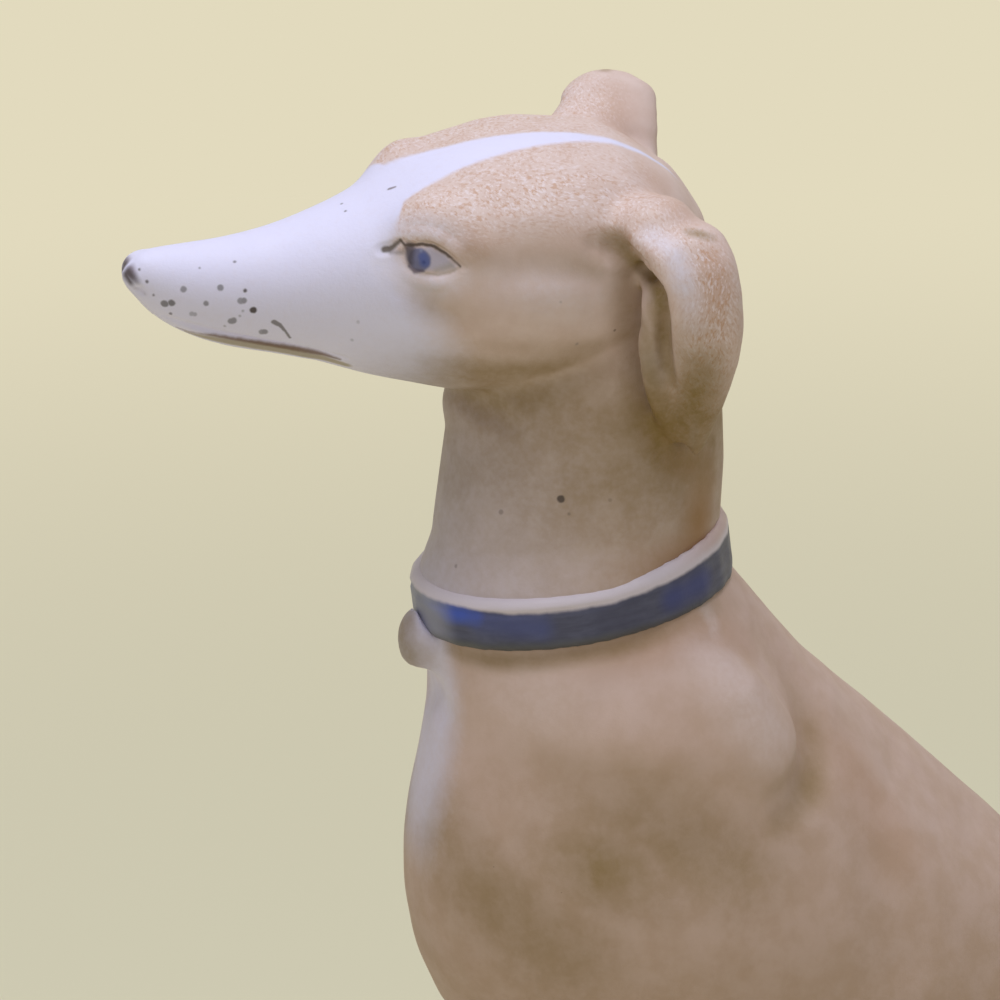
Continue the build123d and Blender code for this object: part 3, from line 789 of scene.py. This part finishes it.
def tint(red, green, blue):
    # a colour as it looks on screen, 0 to 255, for a shader
    shares = [value / 255 for value in (red, green, blue)]
    return (*[share / 12.92 if share < 0.04045 else ((share + 0.055) / 1.055) ** 2.4 for share in shares], 1)


def tinted(colours):
    return {name: tint(*colour) for name, colour in colours.items()}


def put(tree, kind, inputs=None, **settings):
    # a new node: sockets among its inputs are linked, other values are set
    node = tree.nodes.new(kind)
    node.location = (190 * (len(tree.nodes) % 12), -260 * (len(tree.nodes) // 12))
    for key, value in settings.items():
        setattr(node, key, value)
    for key, value in (inputs or {}).items():
        if isinstance(value, bpy.types.NodeSocket):
            tree.links.new(value, node.inputs[key])
        else:
            node.inputs[key].default_value = value
    return node


def maths(tree, operation, first, second=0.0, third=0.0, clamp=False):
    inputs = {0: first, 1: second, 2: third}
    return put(tree, "ShaderNodeMath", inputs, operation=operation, use_clamp=clamp).outputs[0]


def times(tree, first, second):
    return maths(tree, "MULTIPLY", first, second)


def strongest(tree, masks):
    whole = masks[0]
    for mask in masks[1:]:
        whole = maths(tree, "MAXIMUM", whole, mask)
    return whole


def ranged(tree, value, low, high, toLow=0.0, toHigh=1.0, soft=True):
    inputs = {0: value, 1: low, 2: high, 3: toLow, 4: toHigh}
    kind = "SMOOTHSTEP" if soft else "LINEAR"
    return put(tree, "ShaderNodeMapRange", inputs, interpolation_type=kind).outputs[0]


def mixed(tree, share, under, over):
    return put(tree, "ShaderNodeMix", {0: share, 6: under, 7: over}, data_type="RGBA").outputs[2]


def laid(tree, colour, mask, strength, over):
    # a wash or a mark over a colour, as strong as its mask says
    return mixed(tree, times(tree, mask, strength), colour, over)


def vectorMaths(tree, operation, first, second=(0, 0, 0), third=(0, 0, 0)):
    # a vector, or the number that a dot product or a length gives
    kind = "Value" if operation in ("DOT_PRODUCT", "LENGTH") else "Vector"
    inputs = {0: first, 1: second, 2: third}
    return put(tree, "ShaderNodeVectorMath", inputs, operation=operation).outputs[kind]


def scaled(tree, vector, factor):
    return put(tree, "ShaderNodeVectorMath", {0: vector, 3: factor}, operation="SCALE").outputs[0]


def noise(tree, vector, scale, detail, roughness=0.5, output=0):
    inputs = {"Vector": vector, "Scale": scale, "Detail": detail, "Roughness": roughness}
    return put(tree, "ShaderNodeTexNoise", inputs).outputs[output]


def newGroup(name, numbers, masks, vectors=("Vector",)):
    group = bpy.data.node_groups.new(name, "ShaderNodeTree")
    for label in vectors:
        group.interface.new_socket(label, in_out="INPUT", socket_type="NodeSocketVector")
    for label, value in numbers.items():
        socket = group.interface.new_socket(label, in_out="INPUT", socket_type="NodeSocketFloat")
        socket.default_value = value
    for label in masks:
        group.interface.new_socket(label, in_out="OUTPUT", socket_type="NodeSocketFloat")
    return group, group.nodes.new("NodeGroupInput").outputs, group.nodes.new("NodeGroupOutput").inputs


def makeBrushMark():
    # a straight touch of the brush from start to end, with its own width at each end
    widths = {"Start Width": 0.3, "End Width": 0.3, "Softness": 0.1}
    tree, given, result = newGroup("brushMark", widths, ["Mask"], ["Vector", "Start", "End"])
    run = vectorMaths(tree, "SUBTRACT", given["End"], given["Start"])
    away = vectorMaths(tree, "SUBTRACT", given["Vector"], given["Start"])
    along = vectorMaths(tree, "DOT_PRODUCT", away, run)
    share = maths(tree, "DIVIDE", along, vectorMaths(tree, "DOT_PRODUCT", run, run), clamp=True)
    gap = vectorMaths(tree, "LENGTH", vectorMaths(tree, "SUBTRACT", away, scaled(tree, run, share)))
    width = ranged(tree, share, 0.0, 1.0, given["Start Width"], given["End Width"], soft=False)
    outer = maths(tree, "ADD", width, given["Softness"])
    inner = maths(tree, "SUBTRACT", width, given["Softness"])
    tree.links.new(ranged(tree, gap, outer, inner), result["Mask"])
    return tree


def makeHairStrokes():
    # fine short hair marks that lie one of two ways, patch by patch
    numbers = {"Fineness": 1.0, "Turn": 0.0, "Other Turn": 0.6}
    tree, given, result = newGroup("hairStrokes", numbers, ["Mask", "Light"])
    sized = scaled(tree, given["Vector"], given["Fineness"])
    layers = []
    for turn in ("Turn", "Other Turn"):
        turned = put(
            tree, "ShaderNodeVectorRotate", {"Vector": sized, "Angle": given[turn]}, rotation_type="X_AXIS"
        ).outputs[0]
        stretched = vectorMaths(tree, "MULTIPLY", turned, (2.4, 3.6, 1.3))
        moved = vectorMaths(tree, "ADD", stretched, (17.3, 5.1, 9.7))
        layers.append((noise(tree, stretched, 1.0, 2.0, 0.6), noise(tree, moved, 1.1, 2.0, 0.6)))
    share = ranged(tree, noise(tree, given["Vector"], 0.5, 1.0), 0.4, 0.6)
    for name, low, (first, second) in zip(("Mask", "Light"), (0.48, 0.5), zip(*layers)):
        kept = put(tree, "ShaderNodeMix", {0: share, 2: first, 3: second}).outputs[0]
        tree.links.new(ranged(tree, kept, low, 0.64), result[name])
    return tree


def makeKilnSpecks():
    # small dark specks that the clay or the kiln left, uneven in size
    tree, given, result = newGroup("kilnSpecks", {"Density": 0.3, "Size": 0.08}, ["Mask"])
    cells = put(tree, "ShaderNodeTexVoronoi", {"Vector": given["Vector"], "Scale": given["Density"]}).outputs
    chance = put(tree, "ShaderNodeSeparateColor", {0: cells["Color"]}).outputs[0]
    radius = times(tree, ranged(tree, chance, 0.55, 1.0), given["Size"])
    mask = ranged(tree, cells["Distance"], radius, times(tree, radius, 0.55))
    tree.links.new(times(tree, mask, maths(tree, "GREATER_THAN", radius, 0.001)), result["Mask"])
    return tree


def makeSoftMottle():
    # cloudy unevenness of a thin wash
    tree, given, result = newGroup("softMottle", {"Scale": 0.3, "Contrast": 0.2}, ["Value"])
    cloud = noise(tree, given["Vector"], given["Scale"], 4.0, 0.6)
    low = maths(tree, "SUBTRACT", 0.5, given["Contrast"])
    high = maths(tree, "ADD", 0.5, given["Contrast"])
    tree.links.new(ranged(tree, cloud, low, high), result["Value"])
    return tree


def makeFineGrain():
    # fine sandy tooth of unglazed bisque, for bump
    tree, given, result = newGroup("fineGrain", {"Scale": 5.0}, ["Height"])
    fine = noise(tree, given["Vector"], given["Scale"], 5.0, 0.65)
    pits = put(tree, "ShaderNodeTexVoronoi", {"Vector": given["Vector"], "Scale": 1.3}).outputs["Distance"]
    height = maths(tree, "MULTIPLY_ADD", ranged(tree, pits, 0.0, 0.12), 0.25, fine)
    tree.links.new(height, result["Height"])
    return tree


effects = {
    "brush": makeBrushMark(), "hair": makeHairStrokes(), "specks": makeKilnSpecks(),
    "mottle": makeSoftMottle(), "grain": makeFineGrain(),
}


def effect(tree, name, inputs, output=0):
    return put(tree, "ShaderNodeGroup", inputs, node_tree=effects[name]).outputs[output]


def mottled(tree, places, scale, contrast):
    return effect(tree, "mottle", {"Vector": places, "Scale": scale, "Contrast": contrast})


def specked(tree, colour, places, density, size, strength, over):
    specks = effect(tree, "specks", {"Vector": places, "Density": density, "Size": size})
    return laid(tree, colour, specks, strength, over)


def ownPlaces(tree, own, mirror=False):
    # object coordinates in mm of a form's own frame, with x the same on both sides if mirrored
    inputs = {
        "Vector": put(tree, "ShaderNodeTexCoord").outputs["Object"], "Location": own.translation * mm,
        "Rotation": own.to_euler("XYZ"), "Scale": (mm, mm, mm),
    }
    local = put(tree, "ShaderNodeMapping", inputs, vector_type="TEXTURE").outputs[0]
    if not mirror:
        return local
    parts = put(tree, "ShaderNodeSeparateXYZ", {0: local}).outputs
    aside = maths(tree, "ABSOLUTE", parts[0])
    return put(tree, "ShaderNodeCombineXYZ", {0: aside, 1: parts[1], 2: parts[2]}).outputs[0]


# Colours as they look on screen
bisqueColours = {
    "white": (227, 222, 245),
    "fawn": (220, 196, 188),
    "fawnDeep": (203, 172, 158),
    "hairDark": (194, 148, 118),
    "hairLight": (234, 220, 224),
    "rust": (170, 118, 72),
    "shadeAndSoil": (126, 101, 46),
    "pale": (226, 218, 232),
    "speck": (74, 60, 52),
}
bodyColours = {
    **bisqueColours,
    "fawn": (206, 178, 166),
    "fawnDeep": (188, 156, 134),
    "pale": (222, 204, 202),
}

# Touches of the brush on the face, in pixels of the photograph: a chain of points with a width in mm
faceMarks = [
    # painted shade on the lower lip under the overhanging upper lip, then the line of the mouth
    touched((158, 142, 106), 0.8, 0.26, [0.15, 0.4, 0.52, 0.56, 0.56, 0.4],
        [(186, 331.5), (213, 338.8), (253, 345.8), (291, 352), (317, 357), (346, 365)]),
    touched((112, 80, 46), 0.8, 0.16, [0.06, 0.13, 0.16, 0.19, 0.19, 0.1],
        [(177, 327.5), (213, 335.3), (253, 342), (291, 348), (317, 352.6), (340, 359.5)]),
    # lower lid
    touched((160, 142, 122), 0.6, 0.14, [0.04, 0.08, 0.12, 0.1],
        [(426, 273), (438, 275), (450, 272), (460, 267)]),
    # upper lid
    touched((82, 68, 62), 0.92, 0.1, [0.1, 0.11, 0.13, 0.14, 0.14, 0.12, 0.07],
        [(400.5, 240), (405, 245), (413, 245), (423, 244), (434, 246), (447, 254.5), (460.5, 266.5)]),
    # inner corner
    touched((98, 86, 76), 0.9, 0.14, [0.24, 0.22, 0.13], [(384.5, 249.5), (390.5, 249), (400.5, 240)]),
    touched((138, 128, 130), 0.6, 0.2, [0.14, 0.18], [(391, 253), (402, 252)]),
    # stroke beside the mouth
    touched((124, 118, 122), 0.9, 0.08, [0.2, 0.16, 0.12, 0.1],
        [(273.8, 322), (280, 325), (285.3, 331), (290, 337.5)]),
    # worn dark paint of the nose
    touched((122, 100, 112), 0.6, 0.3, [0.3, 0.3], [(126, 259), (131, 268)]),
    touched((62, 46, 44), 0.9, 0.32, [0.2, 0.4, 0.36, 0.26],
        [(125.5, 257), (124.5, 265), (126, 274), (130.5, 282)]),
    # soft grey painted shade in the dent of the nostril
    touched((150, 138, 146), 0.4, 0.2, [0.1, 0.1], [(135, 288), (145, 294)]),
    # scratch on the brow, which only this side has
    touched((96, 76, 66), 0.8, 0.1, [0.12, 0.08], [(389, 189), (395, 187)], once=True),
]
eyeMarks = [
    touched((184, 176, 194), 0.92, 0.3, [0.55, 0.9, 0.7, 0.2],
        [(412, 256), (428, 259), (441, 262), (453, 266)]),
    touched((164, 150, 132), 0.55, 0.3, [0.2, 0.3], [(437, 270), (451, 266)]),
    touched((106, 106, 138), 0.95, 0.14, [0.92], [(418.5, 260)]),
    touched((74, 66, 78), 0.88, 0.3, [0.5, 0.3], [(409.5, 249), (410, 262)]),
    touched((82, 72, 102), 0.75, 0.14, [0.14, 0.2, 0.14], [(409, 266), (415, 271), (423, 271)]),
    touched((80, 92, 152), 0.88, 0.22, [0.36, 0.42], [(423, 257), (424.5, 262)]),
    touched((50, 62, 122), 0.7, 0.12, [0.14], [(424, 262)]),
    # painted glint at the top of the iris
    touched((150, 156, 192), 0.5, 0.12, [0.12], [(421, 250.5)]),
]
# Whisker dots and stray specks: place, radius in mm and how dark
dotMarks = {
    "grey": {"colour": (112, 108, 112), "dots": [
        (183.4, 289.1, 0.24, 0.7), (220.3, 287.6, 0.24, 0.75), (164.6, 303.7, 0.3, 0.85),
        (171.6, 303, 0.28, 0.9), (206, 303.4, 0.2, 0.75), (240.6, 301, 0.26, 0.7),
        (243.6, 300.6, 0.24, 0.75), (192, 313.9, 0.2, 0.5), (194.6, 314.4, 0.19, 0.5),
        (231.4, 321.2, 0.28, 0.75), (233.2, 320.6, 0.27, 0.75),
        (262.2, 332, 0.28, 0.7), (264.3, 331.8, 0.27, 0.75), (242.9, 311, 0.1, 0.5), (240, 316, 0.1, 0.5),
        (225, 326, 0.1, 0.5), (352, 340, 0.12, 0.35), (358, 322, 0.14, 0.3), (561, 302, 0.1, 0.3),
        (577, 344, 0.14, 0.4),
    ]},
    "dark": {"colour": (70, 58, 54), "dots": [
        (245, 290.6, 0.15, 0.9), (253.3, 310.2, 0.28, 0.95), (139.5, 269.4, 0.09, 0.8),
        (147, 281.6, 0.13, 0.8), (153.6, 295, 0.1, 0.7), (170.7, 313.8, 0.13, 0.7),
        (199.5, 268, 0.08, 0.6), (234.7, 261.7, 0.12, 0.7),
        (345.4, 211, 0.12, 0.7), (561, 499, 0.3, 0.9), (501, 512, 0.2, 0.4), (456, 566, 0.16, 0.4),
        (569, 514, 0.12, 0.4), (610, 500, 0.14, 0.3),
    ]},
}


def ownPoint(skinTree, own, pixel):
    return own.inverted() @ seen(skinTree, pixel)[0]


def mirroredPoint(skinTree, own, pixel):
    # where a pixel's place lies in the own frame, counted as on the dog's left
    point = ownPoint(skinTree, own, pixel)
    return Vector((abs(point.x), point.y, point.z))


def brushTouch(tree, places, ends, widths, softness):
    return effect(tree, "brush", {
        "Vector": places, "Start": ends[0], "End": ends[1], "Start Width": widths[0], "End Width": widths[1],
        "Softness": softness,
    })


def brushed(tree, colour, places, skinTree, own, mark):
    # a chain of brush touches, each clear at its soft edge
    place = ownPoint if mark["once"] else mirroredPoint
    points = [place(skinTree, own, pixel) for pixel in mark["path"]]
    widths = mark["width"]
    if len(points) == 1:
        points, widths = points * 2, widths * 2
    touches = [
        brushTouch(tree, places, points[index:index + 2], widths[index:index + 2], mark["softness"])
        for index in range(len(points) - 1)
    ]
    return laid(tree, colour, strongest(tree, touches), mark["strength"], tint(*mark["colour"]))


def dotted(tree, colour, places, skinTree, own, row):
    dots = []
    for across, down, radius, strength in row["dots"]:
        point = mirroredPoint(skinTree, own, (across, down))
        touch = brushTouch(tree, places, [point] * 2, [radius] * 2, dotSoftness)
        dots.append(times(tree, touch, strength))
    return mixed(tree, strongest(tree, dots), colour, tint(*row["colour"]))


def maskOf(tree, name):
    return put(tree, "ShaderNodeAttribute", attribute_name=name).outputs["Fac"]


def newMaterial(name, roughness):
    material = bpy.data.materials.new(name)
    material.use_nodes = True
    shader = material.node_tree.nodes["Principled BSDF"]
    shader.inputs["Roughness"].default_value = roughness
    shader.inputs["IOR"].default_value = 1.45
    return material, material.node_tree


def finished(material, colour, places, grainScale, depth, roughness, spread):
    # gives a material its colour, a fine grain of a depth in mm and an uneven roughness
    tree = material.node_tree
    shader = tree.nodes["Principled BSDF"]
    tree.links.new(colour, shader.inputs["Base Color"])
    grain = effect(tree, "grain", {"Vector": places, "Scale": grainScale})
    bump = put(tree, "ShaderNodeBump", {"Height": grain, "Distance": depth * mm, "Strength": 1.0}).outputs[0]
    tree.links.new(bump, shader.inputs["Normal"])
    uneven = mottled(tree, places, 0.6, 0.25)
    rough = ranged(tree, uneven, 0.0, 1.0, roughness - spread, roughness + spread, soft=False)
    tree.links.new(rough, shader.inputs["Roughness"])
    return material


hairLook = {"fineness": 1.3, "dark": 0.7, "light": 0.6}
markWobble = 0.07  # how far a drawn mark strays to either side, in mm
dotSoftness = 0.09


def makeBisque(name, own, colours, skinTree, turns=None, marks=(), dots=()):
    # unglazed clay under thin washes: white, fawn coat, hair marks, pale places partly painted highlight, and
    # olive painted shade with some soil
    material, tree = newMaterial(name, 0.6)
    places, mirrored = ownPlaces(tree, own), ownPlaces(tree, own, mirror=True)
    tone = tinted(colours)
    coat, hair, pale, shadeAndSoil, rust = (maskOf(tree, mask) for mask in ("coat", "hair", "pale", "shadeAndSoil", "rust"))
    cloud, fineCloud = mottled(tree, places, 0.35, 0.2), mottled(tree, places, 1.6, 0.3)
    fawn = laid(tree, tone["fawn"], cloud, 0.45, tone["fawnDeep"])
    # washes thin out unevenly at their edges
    edged = maths(tree, "MULTIPLY_ADD", fineCloud, 0.12, coat)
    coatShare = ranged(tree, edged, 0.06, 1.0, soft=False)
    colour = mixed(tree, coatShare, tone["white"], fawn)
    colour = laid(tree, colour, rust, 0.8, tone["rust"])
    if turns:
        strokes = {
            "Vector": mirrored, "Fineness": hairLook["fineness"], "Turn": turns[0], "Other Turn": turns[1],
        }
        hairShare = times(tree, hair, coatShare)
        dark = times(tree, effect(tree, "hair", strokes), times(tree, hairShare, hairLook["dark"]))
        light = times(tree, effect(tree, "hair", strokes, 1), times(tree, hairShare, hairLook["light"]))
        colour = mixed(tree, dark, colour, tone["hairDark"])
        colour = mixed(tree, light, colour, tone["hairLight"])
    # pale wash: bare places and painted highlights
    colour = laid(tree, colour, pale, ranged(tree, fineCloud, 0.1, 0.9, 0.6), tone["pale"])
    # olive wash: painted shade in hollows and undersides, with some soil
    shadeAndSoilStrength = times(tree, ranged(tree, cloud, 0.0, 1.0, 0.88), ranged(tree, fineCloud, 0.0, 1.0, 0.9))
    colour = laid(tree, colour, shadeAndSoil, shadeAndSoilStrength, tone["shadeAndSoil"])
    wobble = noise(tree, mirrored, 2.2, 2.0, output="Color")
    shift = vectorMaths(tree, "MULTIPLY_ADD", wobble, [2 * markWobble] * 3, [-markWobble] * 3)
    drawn, drawnOnce = vectorMaths(tree, "ADD", mirrored, shift), vectorMaths(tree, "ADD", places, shift)
    for mark in marks:
        colour = brushed(tree, colour, drawnOnce if mark["once"] else drawn, skinTree, own, mark)
    for row in dots:
        colour = dotted(tree, colour, drawn, skinTree, own, row)
    colour = specked(tree, colour, places, 0.28, 0.05, 0.55, tone["speck"])
    return finished(material, colour, places, 4.5, 0.025, 0.6, 0.08)


collarColours = {
    "blue": (86, 88, 112), "deep": (62, 62, 84), "thin": (150, 150, 168), "rim": (212, 200, 208),
    "line": (84, 84, 80), "rust": (176, 132, 92), "speck": (60, 50, 48),
}
# Thicker cobalt, where the brush was set down
collarMarks = [
    touched((64, 88, 180), 0.95, 0.5, [0.9, 1.3, 0.7], [(426, 592), (446, 606), (474, 616)]),
    touched((74, 84, 146), 0.5, 0.8, [0.9, 0.9], [(476, 620), (540, 628)]),
    touched((58, 66, 124), 0.75, 0.9, [0.9, 1.0], [(672, 598), (704, 580)]),
]


def makeCollarPaint():
    # cobalt brushed round the band, thin at the throat and bare on the rim
    material, tree = newMaterial("collarPaint", 0.5)
    places, mirrored = ownPlaces(tree, collarFrame), ownPlaces(tree, collarFrame, mirror=True)
    tone = tinted(collarColours)
    parts = put(tree, "ShaderNodeSeparateXYZ", {0: places}).outputs
    back, up = parts[1], parts[2]
    stretched = vectorMaths(tree, "MULTIPLY", places, (0.35, 0.35, 1.6))
    colour = laid(tree, tone["blue"], mottled(tree, stretched, 1.0, 0.22), 0.7, tone["deep"])
    colour = laid(tree, colour, mottled(tree, places, 0.16, 0.1), 0.5, tone["deep"])
    skinTree = treeOf(collarForm["skin"])
    for mark in collarMarks:
        colour = brushed(tree, colour, mirrored, skinTree, collarFrame, mark)
    colour = laid(tree, colour, ranged(tree, back, -11.2, -12.6), 0.8, tone["thin"])
    # the band rises at the nape, and its edges are brushed unevenly
    rise = ranged(tree, back, 0.0, collarPlace["halfDepth"], 0.0, -collarBack["rise"] * 0.8, soft=False)
    rise = maths(tree, "ADD", rise, ranged(tree, back, -12.0, -6.0, -0.45, 0.0))
    fray = ranged(tree, noise(tree, places, 0.7, 2.0), 0.0, 1.0, -0.16, 0.16, soft=False)
    level = maths(tree, "ADD", up, fray)
    height = maths(tree, "ADD", level, rise)
    colour = mixed(tree, ranged(tree, height, 0.9, 1.3), colour, tone["rim"])
    colour = laid(tree, colour, ranged(tree, level, -0.9, -2.0), 0.75, tone["line"])
    behind = times(tree, ranged(tree, back, 4.0, 11.0), ranged(tree, height, 1.2, 1.9))
    colour = laid(tree, colour, behind, 0.5, tone["rust"])
    colour = specked(tree, colour, places, 0.4, 0.05, 0.5, tone["speck"])
    return finished(material, colour, places, 4.5, 0.02, 0.48, 0.08)


plinthColours = {
    "blue": (70, 82, 140), "deep": (48, 56, 112), "gilt": (176, 142, 78), "bare": (206, 198, 190),
}
giltLine = {"from": 3.3, "to": 4.9}  # heights on the plinth


def makePlinthPaint():
    # cobalt over the whole plinth, with a worn gilt line on the step
    material, tree = newMaterial("plinthPaint", 0.5)
    places = ownPlaces(tree, bodyFrame)
    tone = tinted(plinthColours)
    up = put(tree, "ShaderNodeSeparateXYZ", {0: places}).outputs[2]
    colour = laid(tree, tone["blue"], mottled(tree, places, 0.12, 0.2), 0.8, tone["deep"])
    colour = laid(tree, colour, mottled(tree, places, 0.9, 0.25), 0.3, tone["deep"])
    fray = noise(tree, places, 0.8, 4.0)
    height = maths(tree, "ADD", up, times(tree, fray, 0.5))
    low, high = giltLine["from"], giltLine["to"]
    line = times(tree, ranged(tree, height, low, low + 0.2), ranged(tree, height, high, high - 0.3))
    colour = laid(tree, colour, line, ranged(tree, fray, 0.34, 0.46), tone["gilt"])
    colour = mixed(tree, ranged(tree, height, 0.9, 0.5), colour, tone["bare"])
    colour = specked(tree, colour, places, 0.25, 0.07, 0.6, tone["bare"])
    return finished(material, colour, places, 3.0, 0.03, 0.48, 0.1)


biscuitColours = {"light": (214, 202, 186), "dark": (196, 180, 160), "speck": (120, 96, 74)}


def makeRawBiscuit():
    # unpainted fired clay of the closing slab
    material, tree = newMaterial("rawBiscuit", 0.8)
    places = ownPlaces(tree, bodyFrame)
    tone = tinted(biscuitColours)
    colour = mixed(tree, mottled(tree, places, 0.1, 0.2), tone["light"], tone["dark"])
    colour = specked(tree, colour, places, 0.4, 0.08, 0.7, tone["speck"])
    return finished(material, colour, places, 2.5, 0.06, 0.8, 0.08)


for form in (headForm, bodyForm):
    cutOnMiddle(form)
painted(headForm, headWashes, coatOfHead, shadeAndSoilOfHead)
painted(bodyForm, bodyWashes, coatOfBody, shadeAndSoilOfBody)
painted(tailForm, [], coatOfBody, shadeAndSoilOfBody)

# How the hair marks lie on head and ears, in radians from straight along the muzzle
headHair, earHair = (0.15, 0.75), (1.1, 1.75)
headTree, bodyTree = headForm["tree"], bodyForm["tree"]
finishes = {
    "head_bisque": makeBisque(
        "headBisque", headFrame, bisqueColours, headTree, headHair, eyeMarks + faceMarks, dotMarks.values()
    ),
    "ear_bisque": makeBisque("earBisque", headFrame, bisqueColours, headTree, earHair),
    "body_bisque": makeBisque("bodyBisque", bodyFrame, bodyColours, bodyTree),
    "leg_bisque": makeBisque("legBisque", bodyFrame, bodyColours, bodyTree),
    "collar_blue": makeCollarPaint(),
    "plinth_blue": makePlinthPaint(),
    "raw_biscuit": makeRawBiscuit(),
}
print("materials made:", len(finishes))

for form in (headForm, bodyForm):
    mesh = form["skin"]
    layer = mesh.attributes.new("skinNormal", "FLOAT_VECTOR", "POINT")
    layer.data.foreach_set("vector", readNormals(mesh).astype(np.float32).ravel())
    owner = shared(form)
    for kind, node in enumerate(form["members"]):
        piece, openEdges = closedPiece(mesh, owner, kind)
        outward = readRows(piece.attributes["skinNormal"].data, "vector", 3).tolist()
        piece.attributes.remove(piece.attributes["skinNormal"])
        piece.normals_split_custom_set_from_vertices(outward)
        dressed("bisque_" + node, piece, node)
        print(node, len(piece.polygons), "faces,", openEdges, "open edges")

for name, form in (("bisque_tail", tailForm), ("painted_collar", collarForm), ("painted_plinth", plinthForm)):
    dressed(name, form["skin"], form["members"][0]).data.shade_smooth()
slabMesh = nodes["base_slab"].data
slabMesh.materials.clear()
slabMesh.materials.append(finishes["raw_biscuit"])

# Pale straw floor, which the camera sees evenly pale away from the figure and its shadow
groundLook = {"colour": (230, 221, 188), "far": (226, 218, 190), "from": 0.12, "to": 0.5, "size": 4}
# Soft light: a wide cool lamp overhead, a weak warm one from the camera's side and an even sky
lamps = {
    "overhead": {"place": (0.06, -0.06, 0.8), "size": 0.5, "energy": 4.2, "colour": (0.87, 0.91, 1.0)},
    "side": {"place": (0.9, -0.7, 0.5), "size": 0.7, "energy": 1.6, "colour": (1.0, 0.97, 0.92)},
}
sky = {"colour": (0.88, 0.93, 1.0, 1), "strength": 0.3}


def shownRays(tree):
    # the rays that bring a surface to the camera, straight or by way of another
    ray = put(tree, "ShaderNodeLightPath").outputs
    bent = maths(tree, "MAXIMUM", ray["Is Glossy Ray"], ray["Is Transmission Ray"])
    return maths(tree, "MAXIMUM", ray["Is Camera Ray"], bent)


def surfaced(tree, share, lit, shown, output):
    blend = put(tree, "ShaderNodeMixShader", {0: share, 1: lit.outputs[0], 2: shown.outputs[0]})
    tree.links.new(blend.outputs[0], tree.nodes[output].inputs["Surface"])


def makeFloor():
    material, tree = newMaterial("ground", 0.9)
    shader = tree.nodes["Principled BSDF"]
    shader.inputs["Base Color"].default_value = tint(*groundLook["colour"])
    glow = put(tree, "ShaderNodeEmission", {"Color": tint(*groundLook["far"]), "Strength": 1.0})
    away = vectorMaths(tree, "LENGTH", put(tree, "ShaderNodeTexCoord").outputs["Object"])
    share = times(tree, shownRays(tree), ranged(tree, away, groundLook["from"], groundLook["to"]))
    surfaced(tree, share, shader, glow, "Material Output")
    bm = bmesh.new()
    bmesh.ops.create_grid(bm, x_segments=1, y_segments=1, size=groundLook["size"])
    mesh = bpy.data.meshes.new("floor")
    bm.to_mesh(mesh)
    bm.free()
    mesh.materials.append(material)
    floor = bpy.data.objects.new("floor", mesh)
    scene.collection.objects.link(floor)


def makeSky():
    world = bpy.data.worlds.new("world")
    world.use_nodes = True
    tree = world.node_tree
    background = tree.nodes["Background"]
    background.inputs["Color"].default_value = sky["colour"]
    background.inputs["Strength"].default_value = sky["strength"]
    backdrop = put(tree, "ShaderNodeBackground", {"Color": tint(*groundLook["far"]), "Strength": 1.0})
    surfaced(tree, shownRays(tree), background, backdrop, "World Output")
    scene.world = world


makeFloor()
makeSky()
lookAt = Vector((0, -20, 90)) * mm
for name, lamp in lamps.items():
    data = bpy.data.lights.new(name, "AREA")
    data.size, data.energy, data.color = lamp["size"], lamp["energy"], lamp["colour"]
    light = bpy.data.objects.new(name, data)
    light.location = lamp["place"]
    light.rotation_euler = (lookAt - Vector(lamp["place"])).to_track_quat("-Z", "Y").to_euler()
    scene.collection.objects.link(light)
scene.view_settings.view_transform = "Standard"
print("floor, sky and lamps made:", len(lamps), "lamps")
